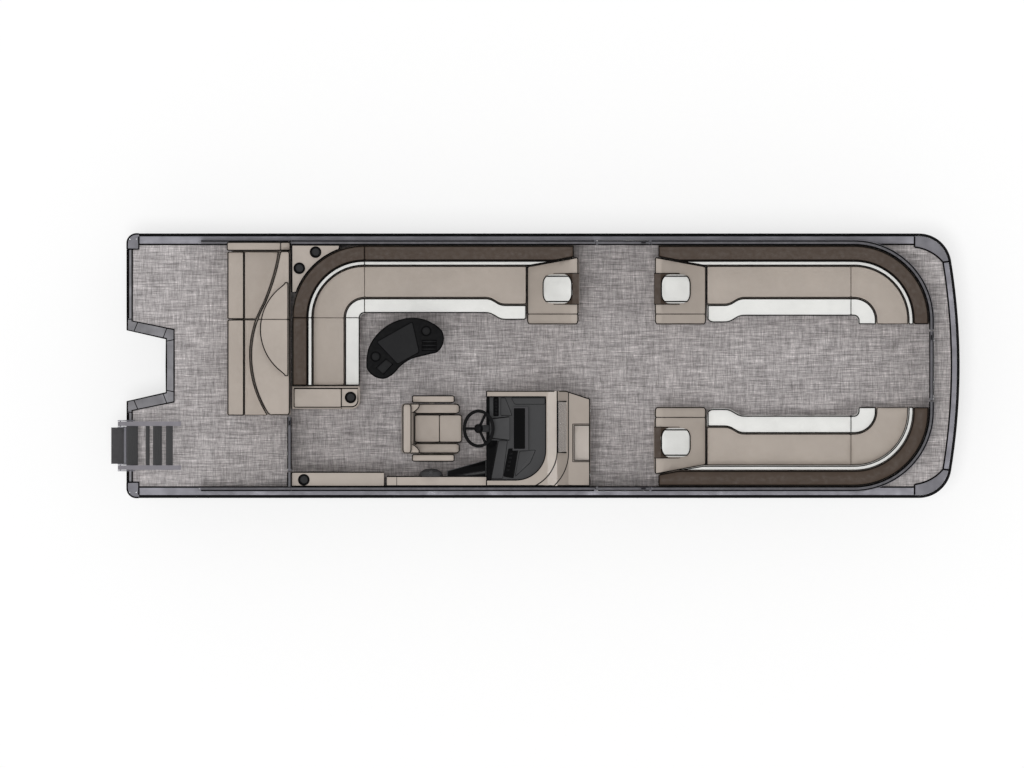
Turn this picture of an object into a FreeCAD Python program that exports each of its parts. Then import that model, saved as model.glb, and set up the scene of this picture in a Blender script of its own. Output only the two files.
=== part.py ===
import FreeCAD
import Part
import Sketcher
import math
import os
import re

# Pontoon boat. Millimetres, +X to the bow, +Y to port, +Z up. The origin is on the floor that the
# keels stand on, at the middle of the overall length and on the centreline.
# Deck stations run forward from the aft edge of the deck. Heights of what stands on the deck start
# at the deck's top.

SIZES = {
    # Hull
    "overall_length": 8306,
    "deck_length": 8155,
    "beam": 2590,
    "deck_height": 800,
    "deck_thickness": 25,
    "bow_radius": 6350,
    "bow_corner_radius": 320,
    "tube_radius": 317.5,
    "tube_inset": 415,
    "tube_aft_station": 130,
    "tube_nose_inset": 255,
    "nose_length": 1350,
    "keel_height": 36,
    "keel_width": 44,
    "keel_end_inset": 60,
    "strake_width": 62,
    "strake_thickness": 26,
    "strake_angle": 52,
    "strake_length": 5600,
    "bracket_wall": 6,
    "bracket_top_width": 190,
    "bracket_foot_breadth": 170,
    "member_height": 55,
    "member_width": 62,
    "member_wall": 5,
    "member_spacing": 395,
    "member_first_station": 545,
    "member_count": 19,
    # Rails round the deck
    "rub_thickness": 28,
    "rub_height": 42,
    "rub_drop": 26,
    "rail_wall": 6,
    "rail_drop": 92,
    "rail_lip": 3,
    "rail_flange": 78,
    "rail_foot": 48,
    "casting_length": 120,
    "casting_width": 130,
    "casting_radius": 95,
    "casting_lip": 12,
    "bow_casting_width": 105,
    "bow_casting_run": 42,
    "bow_casting_tip": 52,
    "bow_casting_radius": 430,
    "stern_strip_width": 57,
    # Motor notch and transom
    "notch_mouth": 352,
    "notch_depth": 385,
    "notch_inner": 267,
    "notch_trim_width": 84,
    "transom_thickness": 48,
    "transom_gap": 8,
    "transom_half_width": 255,
    "transom_drop": 520,
    "transom_bolt_across": 327,
    "transom_bolt_up": 203,
    "transom_bolt_radius": 6.5,
    "transom_bolt_drop": 90,
    "pod_length": 1350,
    "pod_half_width": 300,
    "pod_bottom_drop": 540,
    "pod_heel_run": 260,
    # Fences and gates
    "fence_inset": 91,
    "fence_tube": 40,
    "fence_height": 690,
    "fence_ground_gap": 30,
    "fence_aft_station": 727,
    "fence_step_station": 1612,
    "fence_low_height": 400,
    "fence_front_inset": 276,
    "skin_thickness": 3,
    "skin_gap": 0.3,
    "skin_inset": 6,
    "side_gate_aft_station": 4580,
    "side_gate_width": 553,
    "bow_gate_corner_gap": 95,
    "stern_gate_station": 1593,
    "gate_gap": 12,
    "gate_lift": 14,
    "gate_edge_radius": 8,
    "gate_pin_radius": 8,
    "gate_pin_rise": 74,
    "gate_foot_radius": 24,
    "gate_foot_height": 8,
    "running_gap": 0.5,
    # Couches
    "couch_clearance": 4,
    "couch_aft_station": 1618,
    "couch_corner_radius": 710,
    "base_height": 290,
    "base_recess": 60,
    "seat_thickness": 140,
    "pad_gap": 6,
    "back_height": 760,
    "back_thickness": 155,
    "facing_thickness": 44,
    "facing_height": 700,
    "seat_depth": 310,
    "aft_band_width": 153,
    "bow_band_width": 179,
    "pad_edge_radius": 22,
    "aft_couch_end_breadth": -200,
    "aft_couch_start_gap": 49,
    "arm_width": 224,
    "arm_height": 620,
    "arm_corner_radius": 84,
    "bow_couch_start_gap": 40,
    "bow_couch_gate_gap": 57,
    "couch_inner_radius": 41,
    "flare_reach": 66,
    "flare_run": 180,
    # Chaise backs
    "chaise_length": 507,
    "chaise_fence_gap": 140,
    "chaise_width": 662,
    "chaise_slant": 95,
    "chaise_top_length": 62,
    "chaise_corner_radius": 45,
    "bow_chaise_gate_gap": 34,
    "aft_chaise_gate_gap": 154,
    "headrest_length": 289,
    "headrest_width": 285,
    "headrest_thickness": 70,
    "headrest_corner_radius": 80,
    "headrest_outer_inset": 312,
    "headrest_inset": 64,
    "strap_end": 240,
    "strap_low_height": 250,
    "strap_width": 305,
    "strap_thickness": 12,
    # Aft lounge
    "lounge_aft_station": 980,
    "lounge_fore_station": 1611,
    "lounge_fence_overhang": 13,
    "lounge_starboard_breadth": -487,
    "lounge_bolster_width": 94,
    "lounge_roll_length": 167,
    "lounge_split_breadth": 454,
    "lounge_back_height": 740,
    "lounge_base_recess": 60,
    "lounge_edge_station": 1494,
    "lounge_turn_station": 1340,
    "lounge_turn_breadth": 600,
    "lounge_end_station": 1387,
    "lounge_port_curve": 2060,
    "lounge_main_curve": 1055,
    "lounge_edge_radius": 45,
    "lounge_bolster_height": 530,
    "moon_radius": 523,
    "moon_half_width": 470,
    "moon_breadth": 357,
    "moon_thickness": 50,
    "moon_edge_radius": 24,
    # Corner console, ledge and cup holders
    "console_corner_height": 700,
    "console_corner_cusp": 250,
    "first_cup_station": 1690,
    "first_cup_inset": 250,
    "second_cup_station": 1849,
    "second_cup_inset": 92,
    "arm_cup_station": 2192,
    "arm_cup_inset": 111,
    "ledge_cup_station": 1734,
    "ledge_cup_inset": 87,
    "ledge_width": 161,
    "ledge_height": 640,
    "ledge_fore_station": 2519,
    "cup_radius": 43,
    "cup_flange_radius": 57,
    "cup_depth": 76,
    "cup_wall": 3,
    "cup_lip": 4,
    # Helm
    "console_aft_station": 3521,
    "console_gate_gap": 47,
    "console_width": 928,
    "console_fence_gap": 28,
    "console_height": 960,
    "console_front_height": 640,
    "console_shoulder_height": 770,
    "console_knee_height": 560,
    "console_knee_station": 3720,
    "console_dash_height": 770,
    "cowl_fore_station": 4215,
    "cowl_aft_station": 4120,
    "screen_height": 240,
    "screen_thickness": 8,
    "screen_station": 4235,
    "screen_half_width": 250,
    "screen_outer_inset": 576,
    "pod_aft_station": 2547,
    "pod_width": 92,
    "pod_height": 680,
    "wheel_radius": 186,
    "wheel_rim_radius": 15,
    "wheel_station": 3446,
    "wheel_outer_inset": 561,
    "wheel_height": 866,
    "wheel_tilt": 35,
    "column_radius": 36,
    "chair_station": 2985,
    "chair_seat_height": 540,
    "chair_back_height": 1010,
    "dash_depth": 90,
    "dash_sink": 25,
    "dash_margin": 19,
    "dash_corner_radius": 290,
    "dash_screen_station": 3779,
    "dash_screen_length": 153,
    "dash_screen_width": 430,
    "dash_screen_rise": 20,
    "shroud_station": 3562,
    "shroud_length": 185,
    "shroud_aft_width": 190,
    "shroud_width": 234,
    "shroud_rise": 44,
    "side_wing_length": 385,
    "side_wing_tip": 55,
    "side_wing_width": 163,
    "side_wing_thickness": 40,
    "console_tray_length": 150,
    "console_tray_width": 337,
    "console_tray_inset": 252,
    "console_tray_sink": 40,
    "wing_width": 58,
    "console_bevel": 78,
    "wheel_hub_radius": 32,
    "wheel_hub_depth": 30,
    "wheel_spoke_width": 26,
    "wheel_spoke_thickness": 10,
    "column_length": 150,
    "throttle_station": 2979,
    "throttle_height": 600,
    "throttle_radius": 122,
    "throttle_depth": 78,
    "lever_radius": 9,
    "lever_length": 200,
    "lever_knob_radius": 22,
    "chair_half_width": 247,
    "chair_aft_reach": 306,
    "chair_fore_reach": 301,
    "chair_corner_radius": 62,
    "chair_back_thickness": 132,
    "chair_wing_breadth": 97,
    "chair_wing_reach": 58,
    "chair_wing_edge": 40,
    "chair_wing_drop": 110,
    "chair_pad_half_width": 136,
    "chair_shell_height": 345,
    "chair_shell_thickness": 58,
    "chair_bolster_rise": 45,
    "chair_arm_reach": 323,
    "chair_arm_width": 70,
    "chair_arm_aft": 192,
    "chair_arm_fore": 225,
    "chair_arm_height": 700,
    "chair_arm_thickness": 50,
    "chair_arm_radius": 34,
    "arm_post_width": 46,
    "arm_post_thickness": 14,
    "pedestal_radius": 62,
    "pedestal_foot_radius": 175,
    "pedestal_foot_height": 14,
    "pedestal_plate_radius": 120,
    # Table
    "table_height": 745,
    "table_thickness": 36,
    "table_length": 768,
    "table_width": 596,
    "table_station": 2340,
    "table_breadth": -126,
    "table_edge_radius": 10,
    "table_corner_radius": 40,
    "table_cup_radius": 46,
    "table_cup_depth": 22,
    "table_tray_depth": 8,
    "table_slot_gap": 14,
    "table_leg_radius": 38,
    "table_foot_radius": 150,
    "table_leg_station": 2715,
    "table_leg_breadth": 190,
    # Ladder
    "ladder_hinge_overhang": 62,
    "ladder_hinge_height": 30,
    "ladder_lean": 59,
    "ladder_length": 1130,
    "ladder_side_inset": 298,
    "ladder_width": 429,
    "ladder_rail_width": 44,
    "ladder_rail_thickness": 28,
    "ladder_tail": 24,
    "lug_gap": 5,
    "lug_thickness": 9,
    "lug_foot": 85,
    "lug_reach": 26,
    "ladder_pin_radius": 6,
    "tread_thickness": 24,
    "tread_angle": 15,
    "first_tread_run": 229,
    "first_tread_depth": 112,
    "second_tread_run": 520,
    "second_tread_depth": 38,
    "third_tread_run": 705,
    "third_tread_depth": 90,
    "fourth_tread_run": 932,
    "fourth_tread_depth": 68,
    "boarding_plate_aft": 89,
    "boarding_plate_length": 127,
    "boarding_plate_thickness": 18,
    "boarding_plate_sink": 22,
}

doc = FreeCAD.newDocument("PontoonBoat")
sheet = doc.addObject("Spreadsheet::Sheet", "Sizes")
for row, (name, number) in enumerate(SIZES.items(), start=1):
    sheet.set("A%d" % row, name)
    sheet.set("B%d" % row, str(number))
    sheet.setAlias("B%d" % row, name)
doc.recompute()

nodes = []

# Fits: places that follow other sizes by a named clearance

FITS = {
    "fence_breadth": "(beam / 2 - fence_inset)",
    "tube_breadth": "(beam / 2 - tube_inset)",
    "tube_nose_station": "(deck_length - tube_nose_inset)",
    "fence_front_station": "(deck_length - fence_front_inset)",
    "fence_corner_radius": "(back_thickness + facing_thickness + seat_depth + pad_gap"
                           " + bow_band_width + couch_inner_radius + couch_clearance + fence_tube / 2)",
    "bow_gate_breadth": "(fence_breadth - fence_corner_radius - bow_gate_corner_gap)",
    "bow_couch_end_breadth": "(bow_gate_breadth + bow_couch_gate_gap)",
    "bow_chaise_station": "(side_gate_aft_station + side_gate_width + bow_chaise_gate_gap)",
    "bow_couch_aft_station": "(bow_chaise_station + bow_couch_start_gap)",
    "aft_chaise_station": "(side_gate_aft_station - aft_chaise_gate_gap)",
    "aft_couch_end_station": "(aft_chaise_station - aft_couch_start_gap)",
    "chaise_outer_breadth": "(fence_breadth - chaise_fence_gap)",
    "chaise_inner_breadth": "(chaise_outer_breadth - chaise_width)",
    "headrest_breadth": "(chaise_outer_breadth - headrest_outer_inset)",
    "lounge_port_breadth": "(fence_breadth + lounge_fence_overhang)",
    "first_cup_breadth": "(fence_breadth - first_cup_inset)",
    "second_cup_breadth": "(fence_breadth - second_cup_inset)",
    "arm_cup_breadth": "(arm_cup_inset - aft_couch_end_breadth)",
    "ledge_cup_breadth": "(fence_breadth - ledge_cup_inset)",
    "ledge_breadth": "(fence_breadth - ledge_width)",
    "console_outer_breadth": "(fence_breadth - console_fence_gap)",
    "console_inner_breadth": "(console_outer_breadth - console_width)",
    "console_fore_station": "(side_gate_aft_station - console_gate_gap)",
    "screen_breadth": "(console_outer_breadth - screen_outer_inset)",
    "pod_inner_breadth": "(console_outer_breadth - pod_width)",
    "wheel_breadth": "(console_outer_breadth - wheel_outer_inset)",
    "ladder_starboard_breadth": "(beam / 2 - ladder_side_inset)",
    "ladder_port_breadth": "(ladder_starboard_breadth - ladder_width)",
}


def spelled(text):
    """The expression with each fit written out in the sizes that it follows."""
    return re.sub(r"[a-z]\w*", lambda word: spelled(FITS[word.group()])
                  if word.group() in FITS else word.group(), text)


def scoped(text):
    """The expression with each named size written as objects outside the sheet read it."""
    return re.sub(r"[a-z]\w*", lambda word: "Sizes." + word.group()
                  if word.group() in SIZES else word.group(), spelled(text))


def value(text):
    """The number that an expression in named sizes gives."""
    return float(sheet.evalExpression(spelled(text)))


def place(piece, x="0", y="0", z="0", turn=None):
    """Set a piece's place from expressions, and its turn from an axis and an angle."""
    if turn:
        piece.Placement = FreeCAD.Placement(FreeCAD.Vector(), FreeCAD.Rotation(*turn))
    for axis, text in zip("xyz", (x, y, z)):
        piece.setExpression(".Placement.Base.%s" % axis, scoped(text))


AFT_EDGE = "(overall_length / 2 - deck_length)"


def on_deck(piece, station="0", breadth="0", height="0", turn=None):
    """Place a piece by deck station, breadth and height above the deck."""
    place(piece, AFT_EDGE + " + " + station, breadth, "deck_height + " + height, turn)


def new_body(label):
    body = doc.addObject("PartDesign::Body", label)
    body.AllowCompound = True
    return body


def outline(body, points, plane="XY_Plane", lift="0"):
    """A closed sketch through points in expressions. A third value is the radius of the arc that
    leaves that point: positive turns left, negative turns right."""
    return outlines(body, [points], plane, lift)


def outlines(body, loops, plane="XY_Plane", lift="0"):
    """One sketch of several closed loops."""
    sketch = body.newObject("Sketcher::SketchObject", "Outline")
    origin_plane = [part for part in body.Origin.OriginFeatures if part.Role == plane][0]
    sketch.AttachmentSupport = [(origin_plane, "")]
    sketch.MapMode = "FlatFace"
    sketch.setExpression("AttachmentOffset.Base.z", scoped(lift))
    for points in loops:
        add_loop(sketch, points)
    return sketch


def add_loop(sketch, points):
    first = sketch.GeometryCount
    corners = [FreeCAD.Vector(value(point[0]), value(point[1]), 0) for point in points]
    edges = []
    starts = []
    for index, point in enumerate(points):
        here = corners[index]
        there = corners[(index + 1) % len(points)]
        if len(point) == 2:
            edges.append(Part.LineSegment(here, there))
            starts.append(1)
            continue
        radius = value(point[2])
        along = there - here
        half = along.Length / 2
        right = FreeCAD.Vector(along.y, -along.x, 0).normalize()
        bulge = abs(radius) - math.sqrt(max(radius * radius - half * half, 0))
        middle = (here + there) / 2 + right * math.copysign(bulge, radius)
        edges.append(Part.Arc(here, middle, there))
        starts.append(1 if radius > 0 else 2)
    sketch.addGeometry(edges, False)
    for index, point in enumerate(points):
        edge = first + index
        after = first + (index + 1) % len(points)
        start = starts[index]
        begin = starts[(index + 1) % len(points)]
        sketch.addConstraint(Sketcher.Constraint("Coincident", edge, 3 - start, after, begin))
        for kind, text, here in zip(("DistanceX", "DistanceY"), point, corners[index]):
            number = sketch.addConstraint(Sketcher.Constraint(kind, -1, 1, edge, start, here))
            sketch.setExpression("Constraints[%d]" % number, scoped(text))
        if len(point) == 3:
            number = sketch.addConstraint(Sketcher.Constraint("Radius", edge, abs(value(point[2]))))
            sketch.setExpression("Constraints[%d]" % number, scoped("abs(%s)" % point[2]))


def pad(body, sketch, length, midplane=False, down=False):
    feature = body.newObject("PartDesign::Pad", "Pad")
    feature.Profile = sketch
    feature.setExpression("Length", scoped(length))
    feature.Midplane = midplane
    feature.Reversed = down
    return feature


def pocket(body, sketch, length, midplane=False, up=False):
    feature = body.newObject("PartDesign::Pocket", "Pocket")
    feature.Profile = sketch
    feature.setExpression("Length", scoped(length))
    feature.Midplane = midplane
    feature.Reversed = up
    return feature


def round_edges(body, chosen, radius):
    """Round the edges of the body's last feature that a test picks."""
    doc.recompute()
    base = body.Tip
    names = ["Edge%d" % number for number, edge in enumerate(base.Shape.Edges, start=1) if chosen(edge)]
    feature = body.newObject("PartDesign::Fillet", "Round")
    feature.Base = (base, names)
    feature.setExpression("Radius", scoped(radius))
    return feature


def level_edges(height):
    """A test for edges that lie level at a height."""
    def chosen(edge):
        box = edge.BoundBox
        return abs(box.ZMin - value(height)) < TOUCH and abs(box.ZMax - value(height)) < TOUCH
    return chosen


def upright_edges(edge):
    """Whether an edge is upright."""
    box = edge.BoundBox
    return box.XLength < TOUCH and box.YLength < TOUCH


TOUCH = 1e-3


def slab(label, points, low, high, edge=None):
    """A body padded from an outline between two heights, its top edges rounded if a radius is given."""
    body = new_body(label)
    pad(body, outline(body, points, lift=low), "(%s) - (%s)" % (high, low))
    if edge:
        round_edges(body, level_edges(high), edge)
    return body


def beam_across(label, points, breadth):
    """A body padded from an outline in the side view, evenly to both sides of its own plane."""
    body = new_body(label)
    pad(body, outline(body, points, "XZ_Plane"), breadth, midplane=True)
    return body


def turned(label, points):
    """A body revolved about its own upright axis from an outline in the side view."""
    body = new_body(label)
    sketch = outline(body, points, "XZ_Plane")
    feature = body.newObject("PartDesign::Revolution", "Turn")
    feature.Profile = sketch
    feature.ReferenceAxis = (sketch, ["V_Axis"])
    feature.Angle = 360
    return body


def rectangle(x_low, x_high, y_low, y_high):
    return [(x_low, y_low), (x_high, y_low), (x_high, y_high), (x_low, y_high)]


def rounded(x_low, x_high, y_low, y_high, radius):
    """A rectangle with rounded corners."""
    return [(x_low + " + " + radius, y_low), (x_high + " - " + radius, y_low, radius),
            (x_high, y_low + " + " + radius), (x_high, y_high + " - " + radius, radius),
            (x_high + " - " + radius, y_high), (x_low + " + " + radius, y_high, radius),
            (x_low, y_high + " - " + radius), (x_low, y_low + " + " + radius, radius)]


def node(label, *pieces):
    """Name the sub-part that a file holds: one piece, or several that don't touch."""
    if len(pieces) == 1:
        part = pieces[0]
    else:
        part = doc.addObject("Part::Compound", label)
        part.Links = list(pieces)
    part.Label = label
    nodes.append(part)
    return part


def mirror(piece, label="Mirror"):
    """The same piece on the other side of the centreline."""
    part = doc.addObject("Part::Mirroring", label)
    part.Source = piece
    part.Normal = (0, 1, 0)
    return part


def cut(piece, *tools):
    """A piece less the tools' spaces."""
    part = piece
    for tool in tools:
        result = doc.addObject("Part::Cut", "Cut")
        result.Base = part
        result.Tool = tool
        part = result
    return part


def common(label, piece, space):
    """The part of a piece that lies in a space."""
    part = doc.addObject("Part::Common", label)
    part.Base = piece
    part.Tool = space
    return part


def on_deck_whole(piece):
    """A finished piece moved from deck stations to the boat's frame."""
    holder = doc.addObject("Part::Compound", "Placed")
    holder.Links = [piece]
    on_deck(holder)
    return holder


# Tubes, with a straight top line and a bow that rises to it

TUBE_CENTRE = "(keel_height + tube_radius)"


# Where the nose's sections stand along it, and their radii, as shares
NOSE_SHARES = [(0, 1), (0.3, 0.93), (0.6, 0.72), (0.85, 0.42), (1, 0.16)]
NOSE_START = "(tube_nose_station - tube_aft_station - nose_length)"


def pontoon_tube():
    body = new_body("Tube")
    pad(body, tube_section(body, "0", 1), NOSE_START)
    sections = [tube_section(body, "%s + nose_length * %s" % (NOSE_START, station_share), radius_share)
                for station_share, radius_share in NOSE_SHARES]
    nose = body.newObject("PartDesign::AdditiveLoft", "Nose")
    nose.Profile = sections[0]
    nose.Sections = sections[1:]
    nose.Ruled = False
    return body


def tube_section(body, along, radius_share):
    """A circle across the tube at a station, touching the tube's top line."""
    sketch = body.newObject("Sketcher::SketchObject", "Section")
    plane = [part for part in body.Origin.OriginFeatures if part.Role == "YZ_Plane"][0]
    sketch.AttachmentSupport = [(plane, "")]
    sketch.MapMode = "FlatFace"
    sketch.setExpression("AttachmentOffset.Base.z", scoped(along))
    radius = "tube_radius * %s" % radius_share
    height = "tube_radius - " + radius
    sketch.addGeometry(Part.Circle(FreeCAD.Vector(0, value(height), 0), FreeCAD.Vector(0, 0, 1),
                                   value(radius)), False)
    number = sketch.addConstraint(Sketcher.Constraint("Radius", 0, value(radius)))
    sketch.setExpression("Constraints[%d]" % number, scoped(radius))
    sketch.addConstraint(Sketcher.Constraint("PointOnObject", 0, 3, -2))
    number = sketch.addConstraint(Sketcher.Constraint("DistanceY", -1, 1, 0, 3, value(height)))
    sketch.setExpression("Constraints[%d]" % number, scoped(height))
    return sketch


keel = new_body("Keel")
pad(keel, outline(keel, [
    ("keel_end_inset", "keel_height"), ("keel_end_inset", "0"),
    (NOSE_START, "0"), (NOSE_START + " + keel_height", "keel_height")], "XZ_Plane"),
    "keel_width", midplane=True)
place(keel, AFT_EDGE + " + tube_aft_station", "tube_breadth")
node("keels", keel, mirror(keel))

# Lifting strakes: a three-sided strip welded along each flank of a tube


def lifting_strake(side):
    body = new_body("Strake")
    rise = "(tube_radius * cos(strake_angle) - strake_thickness)"
    pad(body, outline(body, [
        (side + "(tube_radius * sin(strake_angle) - skin_inset)", "-tube_radius * cos(strake_angle)"),
        (side + "(tube_radius * sin(strake_angle) + strake_width)", "-tube_radius * cos(strake_angle)"),
        (side + "(sqrt(tube_radius ^ 2 - %s ^ 2))" % rise, "-" + rise),
        (side + "(sqrt(tube_radius ^ 2 - %s ^ 2) - skin_inset)" % rise, "-" + rise)], "YZ_Plane"),
        "strake_length")
    place(body, "keel_end_inset")
    return body


tube = doc.addObject("Part::MultiFuse", "TubeWithStrakes")
tube.Shapes = [pontoon_tube(), lifting_strake(""), lifting_strake("-")]
place(tube, AFT_EDGE + " + tube_aft_station", "tube_breadth", TUBE_CENTRE)
node("tube_port", tube)
node("tube_starboard", mirror(tube))

# Brackets: a thin hat section along the top of each tube, which carries the cross-members

TUBE_TOP = "(keel_height + 2 * tube_radius)"
MEMBER_BOTTOM = "(deck_height - deck_thickness - member_height)"


def on_tube(breadth):
    """The height of the tube's skin above its centre at a breadth from its centreline."""
    return "sqrt(tube_radius ^ 2 - (%s) ^ 2)" % breadth


bracket = new_body("Bracket")
pad(bracket, outline(bracket, [
    ("-bracket_foot_breadth", on_tube("bracket_foot_breadth") + " + skin_gap"),
    ("-bracket_foot_breadth + bracket_wall",
     on_tube("bracket_foot_breadth - bracket_wall") + " + skin_gap"),
    ("-bracket_top_width / 2 + bracket_wall / 2",
     "%s - %s - bracket_wall" % (MEMBER_BOTTOM, TUBE_CENTRE)),
    ("bracket_top_width / 2 - bracket_wall / 2",
     "%s - %s - bracket_wall" % (MEMBER_BOTTOM, TUBE_CENTRE)),
    ("bracket_foot_breadth - bracket_wall",
     on_tube("bracket_foot_breadth - bracket_wall") + " + skin_gap"),
    ("bracket_foot_breadth", on_tube("bracket_foot_breadth") + " + skin_gap"),
    ("bracket_top_width / 2", "%s - %s" % (MEMBER_BOTTOM, TUBE_CENTRE)),
    ("-bracket_top_width / 2", "%s - %s" % (MEMBER_BOTTOM, TUBE_CENTRE))], "YZ_Plane"),
    "tube_nose_station - tube_aft_station - keel_end_inset - nose_length / 4")
place(bracket, AFT_EDGE + " + tube_aft_station + keel_end_inset", "tube_breadth", TUBE_CENTRE)
node("tube_brackets", bracket, mirror(bracket))

# Cross-members: open channels from side rail to side rail

RAIL_FACE = "(beam / 2 - rub_thickness)"
RAIL_INSIDE = "(beam / 2 - rub_thickness - rail_wall)"
member = new_body("Member")
channel = pad(member, outline(member, [
    ("0", "0"), ("member_width", "0"), ("member_width", "member_wall"),
    ("member_wall", "member_wall"), ("member_wall", "member_height - member_wall"),
    ("member_width", "member_height - member_wall"), ("member_width", "member_height"),
    ("0", "member_height")], "XZ_Plane"), "2 * (%s - skin_gap)" % RAIL_INSIDE, midplane=True)
row = member.newObject("PartDesign::LinearPattern", "Row")
row.Originals = [channel]
row.Direction = ([part for part in member.Origin.OriginFeatures if part.Role == "X_Axis"][0], [""])
row.setExpression("Length", scoped("member_spacing * (member_count - 1)"))
row.setExpression("Occurrences", scoped("member_count"))
member.Tip = row
place(member, AFT_EDGE + " + member_first_station", "0", MEMBER_BOTTOM)
short_member = new_body("ShortMember")
pad(short_member, outline(short_member, [
    ("0", "0"), ("member_width", "0"), ("member_width", "member_wall"),
    ("member_wall", "member_wall"), ("member_wall", "member_height - member_wall"),
    ("member_width", "member_height - member_wall"), ("member_width", "member_height"),
    ("0", "member_height")], "XZ_Plane"), "%s - skin_gap - notch_mouth - notch_trim_width" % RAIL_INSIDE)
place(short_member, AFT_EDGE + " + stern_strip_width + member_width",
      RAIL_INSIDE + " - skin_gap", MEMBER_BOTTOM)
node("cross_members", member, short_member, mirror(short_member))

# Deck: a flat panel inside the rails, cut away for the motor


BOW_CENTRE = "(overall_length / 2 - bow_radius)"
CORNER_BREADTH = "(beam / 2 - bow_corner_radius)"
CORNER_REACH = "sqrt((bow_radius - bow_corner_radius) ^ 2 - (beam / 2 - bow_corner_radius) ^ 2)"
CORNER_STATION = "(%s + %s)" % (BOW_CENTRE, CORNER_REACH)


def bow_point(inset, side=""):
    """Where the bow's long arc meets the corner's arc, on an outline inset from the boat's own."""
    share = "(bow_radius - (%s)) / (bow_radius - bow_corner_radius)" % inset
    return ("%s + %s * %s" % (BOW_CENTRE, CORNER_REACH, share),
            "%s%s * %s" % (side, CORNER_BREADTH, share))


def bow_outline(inset):
    """The bow from the starboard corner's start to the port corner's, inset from the boat's outline."""
    return [
        (CORNER_STATION, "-(beam / 2 - (%s))" % inset, "bow_corner_radius - (%s)" % inset),
        bow_point(inset, "-") + ("bow_radius - (%s)" % inset,),
        bow_point(inset) + ("bow_corner_radius - (%s)" % inset,),
        (CORNER_STATION, "beam / 2 - (%s)" % inset)]


RAIL_INSET = "(rub_thickness + rail_wall + skin_gap)"
TRIM_EDGE = AFT_EDGE + " + stern_strip_width"
NOTCH_END = AFT_EDGE + " + notch_depth + notch_trim_width"
deck = slab("deck", [
    (TRIM_EDGE, "notch_mouth + notch_trim_width"),
    (NOTCH_END, "notch_mouth"), (NOTCH_END, "-notch_mouth"),
    (TRIM_EDGE, "-(notch_mouth + notch_trim_width)"),
    (TRIM_EDGE, "-(beam / 2 - %s)" % RAIL_INSET)] + bow_outline(RAIL_INSET) + [
    (TRIM_EDGE, "beam / 2 - " + RAIL_INSET)],
    "deck_height - deck_thickness", "deck_height")
node("deck", deck)

# Side rails: an outer web with a lip over the deck's edge and a foot under the cross-members

side_rail = new_body("SideRail")
pad(side_rail, outline(side_rail, [
    (RAIL_FACE, "-rail_drop"), (RAIL_FACE, "rail_lip"), (RAIL_FACE + " - rail_flange", "rail_lip"),
    (RAIL_FACE + " - rail_flange", "skin_gap"), (RAIL_INSIDE, "skin_gap"),
    (RAIL_INSIDE, "-rail_drop + rail_wall"), (RAIL_FACE + " - rail_foot", "-rail_drop + rail_wall"),
    (RAIL_FACE + " - rail_foot", "-rail_drop")], "YZ_Plane"),
    "%s - (%s) - casting_length - bow_casting_run" % (CORNER_STATION, AFT_EDGE))
on_deck(side_rail, "casting_length")

# Stern corner castings: rounded caps over the rails' aft ends

stern_casting = slab("SternCasting", [
    (AFT_EDGE, RAIL_FACE + " - casting_width"),
    (AFT_EDGE + " + casting_length - skin_gap", RAIL_FACE + " - casting_width"),
    (AFT_EDGE + " + casting_length - skin_gap", "beam / 2"),
    (AFT_EDGE + " + casting_radius", "beam / 2", "casting_radius"),
    (AFT_EDGE, "beam / 2 - casting_radius")],
    "deck_height - rail_drop", "deck_height + casting_lip")
stern_casting_space = slab("CastingSpace", rectangle(
    TRIM_EDGE + " - skin_gap", AFT_EDGE + " + casting_length + pad_gap",
    RAIL_FACE + " - casting_width - pad_gap", "beam / 2 - %s + skin_gap" % RAIL_INSET),
    "deck_height - rail_drop - pad_gap", "deck_height + skin_gap")
stern_casting = cut(stern_casting, stern_casting_space)

# Bow corner castings: crescents that carry the rail's line round to the bow rail

bow_casting = slab("BowCasting", [
    (CORNER_STATION + " - bow_casting_run", RAIL_FACE),
    (CORNER_STATION + " - bow_casting_run", RAIL_FACE + " - bow_casting_width",
     "-bow_casting_radius"),
    (bow_point("rub_thickness + bow_casting_tip")[0], bow_point("rub_thickness + bow_casting_tip")[1]),
    bow_point("rub_thickness") + ("bow_corner_radius - rub_thickness",),
    (CORNER_STATION, RAIL_FACE)],
    "deck_height - rail_drop", "deck_height + casting_lip")
bow_casting_space = slab("BowCastingSpace", [
    (AFT_EDGE, "0")] + bow_outline(RAIL_INSET + " - skin_gap")[1:] + [
    (AFT_EDGE, "beam / 2 - (%s - skin_gap)" % RAIL_INSET)],
    "deck_height - rail_drop - pad_gap", "deck_height + skin_gap")
bow_casting = cut(bow_casting, bow_casting_space)
node("corner_castings", stern_casting, mirror(stern_casting), bow_casting, mirror(bow_casting))

# Bow rail between the bow castings, and the black rub strips outside all the rails

bow_rail = slab("BowRail", [
    bow_point("rub_thickness + bow_casting_tip", "-"),
    bow_point("rub_thickness", "-") + ("bow_radius - rub_thickness",),
    bow_point("rub_thickness"),
    bow_point("rub_thickness + bow_casting_tip") + ("-(bow_radius - rub_thickness - bow_casting_tip)",)],
    "deck_height - rail_drop", "deck_height + rail_lip")
bow_rail_space = slab("BowRailSpace", [
    (CORNER_STATION, "-(%s)" % bow_point(RAIL_INSET + " - skin_gap")[1]),
    bow_point(RAIL_INSET + " - skin_gap", "-") + ("bow_radius - (%s - skin_gap)" % RAIL_INSET,),
    bow_point(RAIL_INSET + " - skin_gap"),
    (CORNER_STATION, bow_point(RAIL_INSET + " - skin_gap")[1])],
    "deck_height - rail_drop - pad_gap", "deck_height + skin_gap")
node("deck_rails", side_rail, mirror(side_rail), cut(bow_rail, bow_rail_space))

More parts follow.
